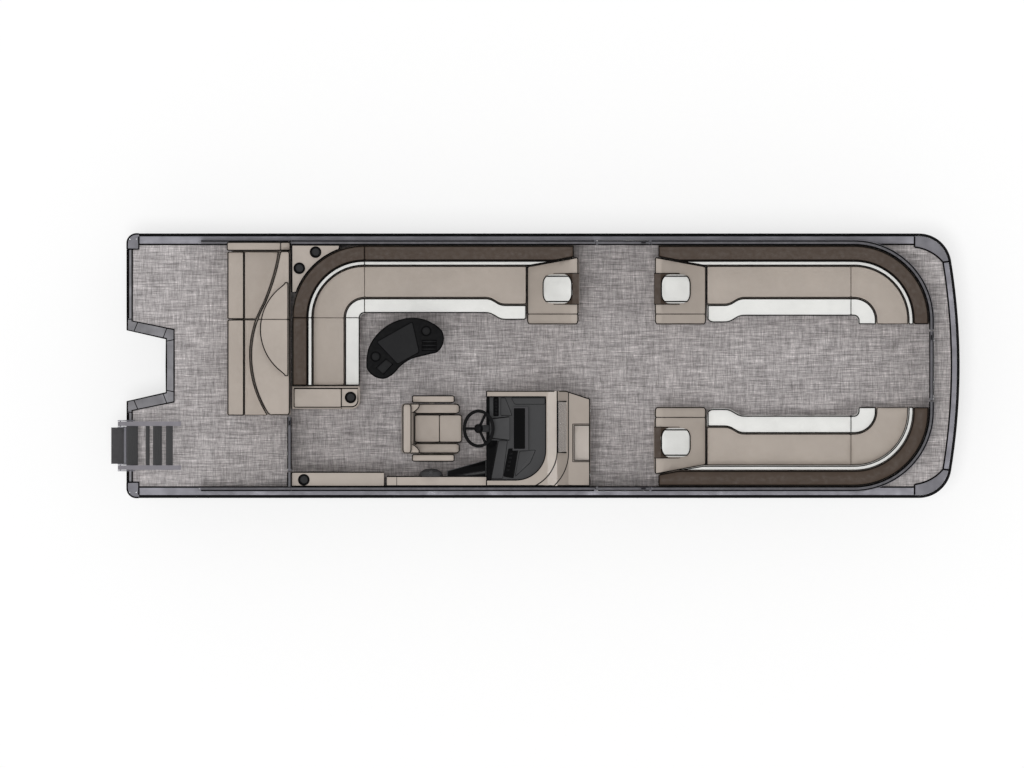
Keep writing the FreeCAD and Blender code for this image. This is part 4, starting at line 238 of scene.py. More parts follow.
def clear_acrylic():
    """Clear acrylic for the low screen."""
    acrylic = Finish("screen_acrylic", tone(232, 232, 233), 0.05, Transmission_Weight=0.8,
                     Alpha=0.45, IOR=1.12)
    acrylic.gloss(acrylic.noise(14, (1, 1, 3)), 0.03, 0.14)
    return acrylic.relief(acrylic.noise(5), 0.0004, 0.3).material


ALONG = (0.03, 1, 1)
MILL = brushed("mill_aluminium", tone(158, 160, 163), 0.4, ALONG, 0.75)
RAIL = brushed("rail_aluminium", tone(117, 116, 122), 0.5, ALONG, metallic=0.45)
CASTING = brushed("cast_aluminium", tone(104, 103, 108), 0.55, (1, 1, 1), metallic=0.45)
TRIM = brushed("trim_aluminium", tone(102, 101, 104), 0.5, (1, 0.03, 1), metallic=0.5)
POLISHED = brushed("polished_metal", tone(180, 181, 183), 0.25, (1, 1, 0.03))
LADDER = brushed("ladder_aluminium", tone(132, 129, 135), 0.45, ALONG, metallic=0.7)
CHARCOAL = coated("fence_charcoal", tone(76, 75, 79), 0.45, metallic=0.2, shine=0.2)
PANEL = coated("fence_panel", tone(196, 192, 184), 0.3, coat=0.3)
RUBBER = coated("black_rubber", tone(20, 20, 21), 0.65, 0.0003, shine=0.05)
BASE = coated("seat_base", tone(170, 160, 151), 0.5, 0.0002, shine=0.25)
CONSOLE = coated("console_plastic", tone(168, 158, 149), 0.4, 0.00016, coat=0.08, shine=0.25)
PLASTIC = coated("black_plastic", tone(64, 63, 65), 0.5, 0.0002, shine=0.12)
DARK = coated("dark_plastic", tone(18, 18, 19), 0.45, 0.00016, shine=0.05)
GLASS = coated("dark_glass", tone(10, 10, 11), 0.18, 0.00002, shine=0.04)
TABLE = coated("table_laminate", tone(13, 13, 14), 0.5, 0.0002, shine=0.04)
INLAY = coated("table_inlay", tone(37, 37, 38), 0.55, 0.0003, shine=0.04)
# Black welt vinyl for the piping; the same dark colour on the seam cords is painted shade of the
# seam grooves, along with their dark thread.
CORD = coated("welt_vinyl_and_seam_shade", tone(16, 14, 13), 0.6, shine=0.03)
EDGING = coated("black_edging", tone(9, 9, 10), 0.6, 0.0002, shine=0.03)
PANEL_DARK = coated("dash_panel", tone(64, 64, 65), 0.5, 0.0002, shine=0.12)
MAT = coated("cup_mat", tone(68, 68, 69), 0.7, 0.0004, shine=0.1)
ACCENT = coated("fence_accent", tone(84, 74, 66), 0.35, coat=0.2)
CLOTH = coated("grille_cloth", tone(30, 30, 31), 0.8, 0.0006, shine=0.1)
DECK = deck_vinyl()
BEIGE = vinyl("beige_vinyl", tone(168, 158, 149))
BROWN = vinyl("brown_vinyl", tone(62, 50, 41))
WHITE = vinyl("white_vinyl", tone(226, 226, 223))
SCREEN = clear_acrylic()

DRESS = {
    MILL: "keels tube_port tube_starboard tube_brackets cross_members transom motor_pod",
    RAIL: "deck_rails ladder_brackets", CASTING: "corner_castings",
    TRIM: "stern_trim", RUBBER: "rub_strips", DECK: "deck", PANEL: "fence_skin_port"
    " fence_skin_starboard port_gate_skin starboard_gate_skin bow_gate_skin stern_gate_skin",
    CHARCOAL: "fence_frame_port fence_frame_starboard port_gate_frame starboard_gate_frame"
    " bow_gate_frame stern_gate_frame gate_pins",
    POLISHED: "pedestals", LADDER: "ladder_rails", PLASTIC: "ladder_treads boarding_plate",
    PANEL_DARK: "console_dash throttle",
    BASE: "port_couch_base starboard_couch_base aft_couch_base lounge_base corner_console"
    " aft_couch_arm side_consoles helm_chair_frame",
    CONSOLE: "console_shell", SCREEN: "windscreen", TABLE: "table_top",
    DARK: "cup_holders steering_wheel"}


def dress_cad():
    """Gives every CAD piece that stays shown its finish."""
    for material, labels in DRESS.items():
        for label in labels.split():
            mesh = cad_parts[label].data
            mesh.materials.clear()
            mesh.materials.append(material)


# Shapes


def set_up(name, data):
    """A new object of the scene."""
    thing = bpy.data.objects.new(name, data)
    bpy.context.scene.collection.objects.link(thing)
    return thing


def unit(vectors):
    return vectors / (np.linalg.norm(vectors, axis=-1, keepdims=True) + 1e-12)


def curve(a, b, c, share):
    """The quadratic curve (1 - t)^2 a + 2 t (1 - t) b + t^2 c."""
    return (1 - share) ** 2 * a + 2 * share * (1 - share) * b + share ** 2 * c


def add_mesh(name, points, faces, material, body="hull", smooth=True, levels=0):
    """A piece from points and faces: doubles merged, normals outward, riding on a body."""
    mesh = bpy.data.meshes.new(name)
    mesh.from_pydata(np.asarray(points, float).tolist(), [], faces)
    shape = bmesh.new()
    shape.from_mesh(mesh)
    bmesh.ops.remove_doubles(shape, verts=shape.verts, dist=DOUBLES)
    bmesh.ops.dissolve_degenerate(shape, edges=shape.edges, dist=1e-6)
    bmesh.ops.recalc_face_normals(shape, faces=shape.faces)
    shape.to_mesh(mesh)
    shape.free()
    mesh.materials.append(material)
    mesh.polygons.foreach_set("use_smooth", [smooth] * len(mesh.polygons))
    piece = set_up(name, mesh)
    if levels:
        finer = piece.modifiers.new("Finer", "SUBSURF")
        finer.levels = finer.render_levels = levels
    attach(piece, body)
    return piece


def ring_faces(rows, columns, closed=False):
    """Quads between rows of ring points, which close on the first row or end in two caps."""
    row = np.arange(rows if closed else rows - 1)[:, None]
    column = np.arange(columns)[None]
    after, beside = (row + 1) % rows, (column + 1) % columns
    quads = np.stack((row * columns + column, row * columns + beside,
                      after * columns + beside, after * columns + column), -1)
    last = (rows - 1) * columns
    caps = [] if closed else [list(range(columns)), list(range(last, last + columns))]
    return quads.reshape(-1, 4).tolist() + caps


def around(sides):
    """Angles evenly round a circle."""
    return np.arange(sides) * 2 * math.pi / sides


def tube_mesh(path, radius, sides=6, closed=False):
    """Points and faces of a tube: rings of a radius carried along a path without twist.

    A ring point is path + radius (cos a, sin a) in the plane across the path's direction.
    """
    path = np.asarray(path, float)
    path = path[np.r_[True, np.linalg.norm(np.diff(path, axis=0), axis=1) > DOUBLES]]
    ahead = np.roll(path, -1, 0) - np.roll(path, 1, 0)
    if not closed:
        ahead[0], ahead[-1] = path[1] - path[0], path[-1] - path[-2]
    ahead, side = unit(ahead), np.zeros_like(path)
    last = np.cross(ahead[0], (0, 0, 1) if abs(ahead[0][2]) < 0.9 else (1, 0, 0))
    for index, direction in enumerate(ahead):
        last = side[index] = unit(last - direction * last.dot(direction))
    up, angle = np.cross(side, ahead), around(sides)[None, :, None]
    rings = path[:, None] + radius * (np.cos(angle) * side[:, None] + np.sin(angle) * up[:, None])
    return rings.reshape(-1, 3), ring_faces(len(path), sides, closed)


def join(shapes):
    """One list of points and faces from several."""
    points, faces, start = [], [], 0
    for some, quads in shapes:
        points.append(np.asarray(some, float))
        faces += [[index + start for index in quad] for quad in quads]
        start += len(some)
    return np.concatenate(points), faces


def tubes(name, paths, radius, material, body="hull", sides=6, closed=False):
    return add_mesh(name, *join([tube_mesh(path, radius, sides, closed) for path in paths]),
                    material, body)


def course(*legs):
    """A plan line of straight legs (x, y, x, y) and arcs (x, y, radius, start, end) in degrees.

    Returns its distances, points and right-hand normals, which point from a couch's outer face to
    the seats.
    """
    points, normals = [], []
    for leg in legs:
        if len(leg) == 4:
            start, end = np.array(leg[:2], float), np.array(leg[2:], float)
            length = np.linalg.norm(end - start)
            share = np.linspace(0, 1, max(2, int(length / LEG_STEP)))[:, None]
            run = (end - start) / length
            points.append(start + (end - start) * share)
            normals.append(np.tile((run[1], -run[0]), (len(share), 1)))
        else:
            x, y, radius, start, end = leg
            angle = np.radians(np.linspace(start, end, max(8, int(abs(end - start) / 2))))
            out = np.stack((np.cos(angle), np.sin(angle)), 1)
            points.append(np.array((x, y)) + radius * out)
            normals.append(-out * (1 if end < start else -1))
    points, normals = np.concatenate(points), np.concatenate(normals)
    gone = np.r_[0, np.cumsum(np.linalg.norm(np.diff(points, axis=0), axis=1))]
    return gone + np.arange(len(gone)) * 1e-6, points, normals


def on_course(line, gone, offset):
    """Plan points at distances along a course and offsets to its right."""
    distance, points, normals = line
    x, y, across, up = (np.interp(gone, distance, row) for row in (*points.T, *normals.T))
    return np.stack((x + offset * across, y + offset * up), -1)


def plan_ring(corners, radius):
    """A closed outline whose corners are quadratic curves that start a radius before them."""
    corners = np.asarray(corners, float)
    ends = []
    for other in (np.roll(corners, 1, 0), np.roll(corners, -1, 0)):
        gap = np.linalg.norm(other - corners, axis=1)
        ends.append(corners + (other - corners) * np.minimum(radius / gap, 0.48)[:, None])
    a, b, c = (places[:, None] for places in (ends[0], corners, ends[1]))
    return curve(a, b, c, np.linspace(0, 1, 6)[None, :, None]).reshape(-1, 2)


def rectangle(u, v, far_u, far_v, radius):
    return plan_ring([(u, v), (far_u, v), (far_u, far_v), (u, far_v)], radius)


def disc(x, y, radius, sides=32):
    return np.stack((x + radius * np.cos(around(sides)), y + radius * np.sin(around(sides))), 1)


def shrunk(outline, inset):
    """A closed outline moved inwards along the normals at its points."""
    ahead = unit(np.roll(outline, -1, 0) - np.roll(outline, 1, 0))
    x, y = outline.T
    area = np.sum(x * np.roll(y, -1) - y * np.roll(x, -1))
    return outline + math.copysign(inset, area) * np.stack((-ahead[:, 1], ahead[:, 0]), 1)


def plate(outline, thickness, edge=3.0, foot=-1.0, crown=0.0):
    """A raised plate in (u, v, w), whose rim turns over by r (1 - cos a) and r sin a."""
    profile = [(0.0, foot)] + [(edge * (1 - math.cos(a)), thickness - edge * (1 - math.sin(a)))
                               for a in np.linspace(0, math.pi / 2, 4)]
    if crown:
        profile += [(edge + crown * share, thickness + crown * 0.2 * share) for share in (0.5, 1)]
    points = np.concatenate([np.c_[shrunk(outline, inset), np.full(len(outline), height)]
                             for inset, height in profile])
    return points, ring_faces(len(profile), len(outline))


def plates(name, outlines, thickness, place, material, body="hull", **rim):
    """One piece of several raised plates, set down by a function of (u, v, w)."""
    points, faces = join([plate(outline, thickness, **rim) for outline in outlines])
    return add_mesh(name, place(*points.T), faces, material, body)


def domes(name, places, outward, radius, material, body="hull", flat=0.5, sides=10):
    """Screw and rivet heads: rings r cos a across and flat r sin a outwards from each place."""
    outward = unit(np.asarray(outward, float))
    side = unit(np.cross(outward, (0.3, 0.5, 0.81)))
    up = np.cross(outward, side)
    turn, rise = around(sides)[:, None], np.radians((-25, 0, 30, 60, 84))[:, None, None]
    ring = (np.cos(turn) * side + np.sin(turn) * up)[None]
    shape = radius * (np.cos(rise) * ring + flat * np.sin(rise) * outward[None, None])
    faces = ring_faces(len(rise), sides)
    return add_mesh(name, *join([(place + shape.reshape(-1, 3), faces) for place in places]),
                    material, body)


def top_rims(label, height):
    """The closed outlines of a CAD piece's level faces at a height, the longest first."""
    shape = bmesh.new()
    shape.from_mesh(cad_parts[label].data)
    bmesh.ops.remove_doubles(shape, verts=shape.verts, dist=DOUBLES)
    links = {}
    for edge in shape.edges:
        level = all(abs(end.co.z - height) < 3e-4 for end in edge.verts)
        if level and sum(face.normal.z > 0.9999 for face in edge.link_faces) == 1:
            one, other = edge.verts
            links.setdefault(one.index, []).append(other.index)
            links.setdefault(other.index, []).append(one.index)
    shape.verts.ensure_lookup_table()
    places = {index: np.array(shape.verts[index].co) for index in links}
    shape.free()
    loops = []
    while links:
        start, follow = links.popitem()
        loop, here = [start], follow[0]
        while here in links:
            loop.append(here)
            nearby = links.pop(here)
            here = nearby[0] if nearby[0] != loop[-2] else nearby[-1]
        loops.append(np.array([places[index] for index in loop]))
    return sorted(loops, key=lambda loop: -np.ptp(loop, axis=0).sum())


# Cushions


def rings(corners, inset, radius, bulge, steps):
    """Rounded cushion sections for many rows at once, as (rows, ring, 2).

    The corners are (rows, count, 2), counter-clockwise. Side k runs from corner k to the next,
    moves in by inset[:, k], bows out by bulge[:, k] (1 - t^2) and has steps[k] points. Each corner
    becomes the quadratic curve (1 - t)^2 a + 2 t (1 - t) b + t^2 c over radius[k].
    """
    run = unit(np.roll(corners, -1, 1) - corners)
    inward = np.stack((-run[..., 1], run[..., 0]), 2)
    before, shift = np.roll(inward, 1, 1), np.roll(inset, 1, 1)
    area = before[..., 0] * inward[..., 1] - before[..., 1] * inward[..., 0]
    move = np.stack((shift * inward[..., 1] - inset * before[..., 1],
                     inset * before[..., 0] - shift * inward[..., 0]), 2)
    moved = corners + move / area[..., None]
    length = np.linalg.norm(np.roll(moved, -1, 1) - moved, axis=2, keepdims=True)
    room = 0.45 * np.minimum(length, np.roll(length, 1, 1))
    cut = np.minimum(np.asarray(radius, float)[None, :, None], room)
    into, out = moved - np.roll(run, 1, 1) * cut, moved + run * cut
    share = np.linspace(0, 1, 5)[None, :, None]
    ring, middles = [], []
    for index in range(corners.shape[1]):
        a, b, c = (part[:, index][:, None] for part in (into, moved, out))
        middles.append(sum(part.shape[1] for part in ring) + share.shape[1] // 2)
        ring.append(curve(a, b, c, share))
        end = into[:, (index + 1) % corners.shape[1]][:, None]
        part = np.linspace(0, 1, steps[index] + 2)[None, 1:-1, None]
        bow = bulge[:, index][:, None, None] * (1 - (2 * part - 1) ** 2)
        ring.append(c + (end - c) * part - inward[:, index][:, None] * bow)
    return np.concatenate(ring, 1), middles


def row_places(length, step, reach, seams):
    """Distances of a cushion's rows: close together at its ends and seams."""
    turn = 1 - np.cos(np.linspace(0, math.pi / 2, 6))
    near = [turn * reach[0], length - turn * reach[1]]
    near += [seam + np.array((-16, -8, -3, 0, 3, 8, 16)) for seam in seams]
    even = np.linspace(0, length, max(3, int(length / step)) + 1)
    fixed = np.concatenate(near)
    even = even[np.abs(even[:, None] - fixed[None]).min(1) > step * 0.45]
    return np.unique(np.clip(np.concatenate((fixed, even)), 0, length))


PADS = []


def block(near, low, far, high, near_high=None):
    """A four-cornered section, whose near side may have another height."""
    return [(near, low), (far, low), (far, high), (near, near_high or high)]


def pad(name, line, corners, material, radius, bulge, steps, *, length=None, step=34,
        ends=(16, 16), seams=(), welts=(2, 3), held=(0,), puff=6.0, settle=None, body="hull",
        welt_radius=5.4, mirrored=False, group=None, end_sides=None, hard=False):
    """Takes down one cushion: sections with given corners, carried along a course.

    The corners are a list of (offset, height), whose entries may be functions of the distance. Each
    has a radius, and a bulge and steps for the side that follows. The sides move in at the ends by
    r - sqrt(r^2 - (r - d)^2), and at a seam by a narrow dip. Sides in held don't swell, nor do the
    corners in welts, which get a cord.
    """
    length = length or round(line[0][-1], 3)
    gone = row_places(length, step, ends, seams)
    shape = np.array([[np.broadcast_to(part(gone) if callable(part) else part, gone.shape)
                       for part in corner] for corner in corners], float).transpose(2, 0, 1)
    inset = np.zeros((len(gone), len(corners)))
    for reach, distance in ((ends[0], gone), (ends[1], length - gone)):
        near = 1 - np.clip(distance / reach, 0, 1)
        inset += (reach * (1 - np.sqrt(1 - near ** 2)))[:, None]
    swell = 1 - np.clip(inset[:, :1] / 6, 0, 1)
    for seam in seams:
        inset += (7 * np.exp(-((gone - seam) / 6) ** 2))[:, None]
        swell = swell * (1 - np.exp(-((gone - seam) / 14) ** 2))[:, None]
    inset[:, list(held)] = 0
    if end_sides is not None:
        inset *= np.asarray(end_sides, float)[None]
    section, middles = rings(shape, inset, radius, np.asarray(bulge, float)[None] * swell, steps)
    plan = on_course(line, gone[:, None], section[..., 0])
    points = np.stack((plan[..., 0], plan[..., 1], section[..., 1]), -1)
    if settle:
        points = settle(points)
    if mirrored:
        points = points * (1, -1, 1)
    rows, columns = points.shape[:2]
    free = np.broadcast_to(swell, (rows, columns)).copy()
    marks = middles + [columns + middles[0]]
    for side in held:
        free[:, np.arange(marks[side], marks[side + 1] + 1) % columns] = 0
    for corner in welts:
        free[:, (marks[corner] + np.array((-1, 0, 1))) % columns] = 0
    PADS.append(dict(points=deck(*points.reshape(-1, 3).T), shape=points.shape, free=free.ravel(),
                     faces=ring_faces(rows, columns), puff=puff / 1000, welts=welts,
                     middles=middles, gone=gone, ends=ends, seams=seams, material=material,
                     body=body, welt_radius=welt_radius / 1000, group=group or name, hard=hard))


def plump():
    """Blows every cushion up between its welts as cloth, and caps how far a point may move."""
    points, faces = join([(item["points"], item["faces"]) for item in PADS])
    free = np.concatenate([item["free"] for item in PADS])
    mesh = bpy.data.meshes.new("cushion_cloth")
    mesh.from_pydata(points.tolist(), [], faces)
    cloth = set_up("cushion_cloth", mesh)
    held = cloth.vertex_groups.new(name="held")
    for level in np.unique(np.round(1 - free, 2)):
        chosen = np.nonzero(np.abs(1 - free - level) < 0.006)[0]
        held.add(chosen.tolist(), float(level), "REPLACE")
    blown = cloth.modifiers.new("Blown", "CLOTH")
    settings = blown.settings
    for name, value in dict(quality=3, mass=0.3, tension_stiffness=14, compression_stiffness=14,
                            bending_stiffness=0.6, shrink_min=-0.012, use_pressure=True,
                            uniform_pressure_force=4, vertex_group_mass="held").items():
        setattr(settings, name, value)
    settings.effector_weights.gravity = 0
    blown.collision_settings.use_collision = False
    blown.point_cache.frame_start, blown.point_cache.frame_end = 1, CLOTH_FRAMES
    scene = bpy.context.scene
    for number in range(1, CLOTH_FRAMES + 1):
        scene.frame_set(number)
    swollen = cloth.evaluated_get(bpy.context.evaluated_depsgraph_get()).data
    moved = np.empty(len(points) * 3)
    swollen.vertices.foreach_get("co", moved)
    move = moved.reshape(-1, 3) - points
    bpy.data.objects.remove(cloth)
    bpy.data.meshes.remove(mesh)
    scene.frame_set(1)
    start = 0
    for item in PADS:
        some = slice(start, start + len(item["points"]))
        far = np.linalg.norm(move[some], axis=1, keepdims=True)
        item["points"] += unit(move[some]) * item["puff"] * np.tanh(far / item["puff"])
        start = some.stop


def welt_paths(item):
    """The closed line of each welted face, then the line of each seam over the top, where a dark
    cord paints the shade of the seam's groove.

    The lines are the cushion's points, moved by 0.45 of the cord's radius from their section's
    middle.
    """
    if not item["welts"]:
        return [], []
    grid = item["points"].reshape(item["shape"])
    grid = grid + 0.45 * item["welt_radius"] * unit(grid - grid.mean(1, keepdims=True))
    gone, ends = item["gone"], item["ends"]
    first, last, *rows = (int(np.abs(gone - place).argmin()) for place in (
        0.25 * ends[0], gone[-1] - 0.25 * ends[1], *item["seams"]))
    start, low, high = (item["middles"][corner] for corner in (
        item["welts"][0] - 1, item["welts"][0], item["welts"][-1]))
    loop = np.concatenate((grid[first:last + 1, low], grid[last, low + 1:high + 1],
                           grid[first:last, high][::-1], grid[first, low + 1:high][::-1]))
    return [loop], [grid[row, start:high + 1] for row in rows]


def build_pads():
    """Makes the cushions, one piece to a group, with the cords in their welts, and dark cords in
    their seams that paint the shade of the grooves.
    """
    pieces = {}
    for group in dict.fromkeys(item["group"] for item in PADS):
        items = [item for item in PADS if item["group"] == group]
        lead, cords = items[0], []
        pieces[group] = add_mesh(group, *join([(item["points"], item["faces"]) for item in items]),
                                 lead["material"], lead["body"], levels=1)
        for item in items:
            loops, seams = welt_paths(item)
            cords += [tube_mesh(path, item["welt_radius"], closed=True) for path in loops]
            # Seam cords are painted shade: a dark cord stands in for the shade of each seam's
            # groove, along with the seam's dark thread.
            cords += [tube_mesh(path, item["welt_radius"] * 0.75) for path in seams]
        if cords:
            add_mesh(group + "_welts_and_seam_shade", *join(cords), CORD, lead["body"])
    return pieces


# Couches

BOW_COURSE = course((BOW_START, COUCH_FACE, 7120, COUCH_FACE), (7120, 445, 735, 90, 0),
                    (7855, 445, 7855, 407))
AFT_COURSE = course((1618, -194, 1618, 470), (2328, 470, 710, 180, 90),
                    (2328, COUCH_FACE, 4377, COUCH_FACE))
AFT_TURN = 664 + 710 * math.pi / 2


def aft_distance(station):
    """How far along the aft couch's course a station of its last leg lies."""
    return AFT_TURN + station - 2328


def parabolic_step(share):
    share = np.clip(share, 0, 1)
    return np.where(share < 0.5, 2 * share ** 2, 1 - 2 * (1 - share) ** 2)


def part_of(line, start):
    """A course counted from a later start."""
    return line[0] - start, line[1], line[2]


def couch(side, line, run_of, flare_of, back_end, facing, seat, back_seams, seat_seams, band_edge,
          band_ends, mirrored=False):
    """A couch's back, facing strip, seat and front band along one course."""
    def inner(limit, start=0, least=0):
        """An inner offset beyond a start, held clear of the chaise's slanting outer side."""
        def offset(gone):
            run = run_of(gone + start)
            clear = COUCH_FACE - CHAISE_OUTER - 7 + CHAISE_SLANT * np.clip(run / CHAISE_RUN, 0, 1)
            clear = np.where(run < CHAISE_RUN + 6, np.minimum(limit, clear), limit)
            return np.maximum(clear, least)
        return offset

    def flared(edge):
        """An offset in the seats, which widen by an S towards the chaise."""
        return lambda gone: edge + FLARE * flare_of(gone + seat[0])

    def layer(name, start, end, corners, material, radius, bulge, steps, seams, **values):
        pad("%s_couch_%s" % (side, name), part_of(line, start), corners, material, radius, bulge,
            steps, length=end - start, seams=[seam - start for seam in seams], held=(0, 3),
            mirrored=mirrored, **values)

    layer("back", 0, back_end, block(3, SEAT_LOW, inner(153), 752), BROWN, (8, 8, 30, 30),
          (0, 3, 5, 0), (3, 9, 7, 5), back_seams, puff=7, ends=(22, 22))
    layer("facing", *facing, block(156, SEAT_LOW, inner(198, facing[0], 160), 697), WHITE,
          (6, 8, 14, 10), (0, 3, 1, 0), (2, 8, 3, 4), back_seams, puff=4, ends=(12, 12))
    layer("seat", *seat, block(207, SEAT_LOW, flared(513), SEAT_TOP - 4, SEAT_TOP - 6), BEIGE,
          (8, 10, 22, 16), (0, 2, 5, 0), (4, 4, 13, 4), seat_seams, puff=9, ends=(20, 20),
          welt_radius=3.4)
    layer("band", *seat, block(flared(523), SEAT_LOW, flared(band_edge), SEAT_TOP - 6,
          SEAT_TOP - 4), WHITE, (8, 22, 34, 18), (0, 5, 4, 0), (3, 6, 7, 4), seat_seams, puff=8,
          ends=band_ends, end_sides=(0, 1, 0.3, 0))


def couches():
    """The two bow couches, which mirror each other, and the aft couch with its two corners."""
    whole = BOW_COURSE[0][-1]
    for side in ("port", "starboard"):
        couch(side, BOW_COURSE, lambda gone: BOW_START - BOW_CHAISE + gone,
              lambda gone: 1 - parabolic_step((gone - 653) / FLARE_RUN), whole, (200, whole),
              (473, whole), (), (1884,), 692, (64, 20), side == "starboard")
    couch("aft", AFT_COURSE, lambda gone: aft_distance(AFT_CHAISE) - gone,
          lambda gone: parabolic_step((gone - aft_distance(3520)) / FLARE_RUN), aft_distance(4377),
          (0, aft_distance(4226)), (0, aft_distance(3913)), (664, AFT_TURN), (664, AFT_TURN), 666,
          (20, 30))


# Chaise backs with their headrests and straps


def slope(run, gap=0.0):
    """The height of a chaise's slope at a distance from its outer end."""
    return 760 - (run - 62) * 330 / 445 + gap


def chaises():
    """Chaise backs with their plinths, headrests and straps."""
    line = course((0, 402, 0, CHAISE_OUTER))
    for name, start, sign in (("port", BOW_CHAISE, 1), ("starboard", BOW_CHAISE, 1),
                              ("aft", AFT_CHAISE, -1)):
        def stand(points):
            return points * (sign, 1, 1) + (start, 0, 0)

        def slant(points):
            """Draws the outer side in towards the toe."""
            share = np.clip((points[..., 1] - 512) / (CHAISE_OUTER - 512), 0, 1)
            inwards = CHAISE_SLANT * share * points[..., 0] / CHAISE_RUN
            return stand(points - inwards[..., None] * (0, 1, 0))

        common = dict(mirrored=name == "starboard", held=(0,))
        pad(name + "_chaise_back", line, [(4, SEAT_LOW), (503, SEAT_LOW), (503, SEAT_TOP - 4),
            (62, 753), (4, 753)], BEIGE, (8, 12, 26, 30, 24), (0, 3, 4, 2, 3), (5, 4, 15, 2, 10),
            seams=(104,), welts=(2, 3, 4), puff=8, step=30, ends=(40, 22), settle=slant, **common)
        pad(name + "_chaise_plinth", line, block(14, 2, 490, 286), BASE, (6, 30, 6, 30), [0] * 4,
            [2] * 4, step=80, ends=(30, 16), welts=(), puff=0.01, settle=slant, hard=True,
            **{**common, "held": (0, 2)})
        pad(name + "_headrest", course((0, 609.5, 0, 894.5)), [(66, slope(66, 2)),
            (351, slope(351, 2)), (351, slope(351, 58)), (66, slope(66, 58))], WHITE,
            (14, 14, 30, 30), (0, 4, 9, 4), (8, 3, 11, 3), step=16, ends=(96, 96),
            end_sides=(0.2, 0.8, 0.3, 0.8), puff=9, welt_radius=6.4, settle=stand, **common)
        pad(name + "_chaise_strap", course((0, 600, 0, 905)), [(8, 420), (8, 748), (60, 748),
            (234, 622), (243, slope(243, 4)), (63, 764), (-1, 764), (-1, 420)], BROWN, [3] * 8,
            [0] * 8, (5, 1, 3, 1, 4, 2, 6, 1), step=40, ends=(5, 5), welts=(4, 5, 6, 7), puff=0.01,
            welt_radius=3.6, settle=stand, **{**common, "held": tuple(range(8))})


# Aft lounge


def lounge_edge(breadth):
    """The station of the lounge back's S-shaped leading edge: two arcs over their chords."""
    upper = np.clip((breadth - 600) / 523, 0, 1)
    lower = np.clip((breadth + 487) / 1087, 0, 1)
    return np.where(breadth > 600, 1340 + 154 * upper + 18 * (1 - (2 * upper - 1) ** 2),
                    1387 - 47 * lower - np.sqrt(1055 ** 2 - ((lower - 0.5) * 1088) ** 2) + 904)


def lounge():
    """The aft lounge's cushions with its half-moon pillow, and the aft couch arm's pad."""
    for part, low, high in (("starboard", -487, 451), ("port", 457, 1117)):
        line = course((LOUNGE_AFT, low, LOUNGE_AFT, high))
        pad("lounge_roll_" + part, line, block(2, SEAT_LOW, 166, SEAT_TOP - 4, SEAT_TOP - 12),
            BEIGE, (14, 8, 18, 44), (0, 0, 4, 5), (4, 4, 8, 6), held=(0, 1), puff=8, ends=(20, 20))
        edge = lambda gone: lounge_edge(gone + low) - LOUNGE_AFT - 7
        pad("lounge_seat_" + part, line, block(173, SEAT_LOW, edge, SEAT_TOP - 6, SEAT_TOP - 4),
            BEIGE, (8, 8, 16, 18), (0, 0, 5, 0), (4, 4, 12, 4), held=(0, 1, 3), puff=9,
            ends=(20, 20), welt_radius=3.0)
    edge = lambda gone: lounge_edge(gone - 487) - LOUNGE_AFT + 2
    pad("lounge_back", course((LOUNGE_AFT, -487, LOUNGE_AFT, 1123)),
        block(edge, SEAT_LOW, 622, 732), BEIGE, (10, 10, 40, 44), (0, 2, 5, 5), (4, 8, 10, 9),
        puff=8, seams=(941,), ends=(36, 30))
    moon = lambda gone: np.minimum(621 - np.sqrt(523 ** 2 - (gone - 457) ** 2) + 230, 566)
    pad("lounge_pillow", course((LOUNGE_AFT, -100, LOUNGE_AFT, 814)), block(moon, 741, 600, 776),
        BEIGE, (12, 12, 18, 18), (0, 3, 6, 4), (6, 3, 9, 3), puff=8, seams=(554,), ends=(12, 12))
    pad("lounge_bolster", course((LOUNGE_AFT, 1215, 1604, 1215)), block(2, 402, 90, 522), BEIGE,
        (10, 12, 26, 26), (0, 4, 4, 3), (4, 5, 5, 5), seams=(528,), ends=(24, 24))
    pad("couch_arm_pad", course((1636, -222, 2104, -222)), block(2, 618, 184, 640), BEIGE,
        (4, 6, 12, 12), (0, 2, 5, 2), (4, 1, 9, 1), ends=(18, 18))


# Helm chair


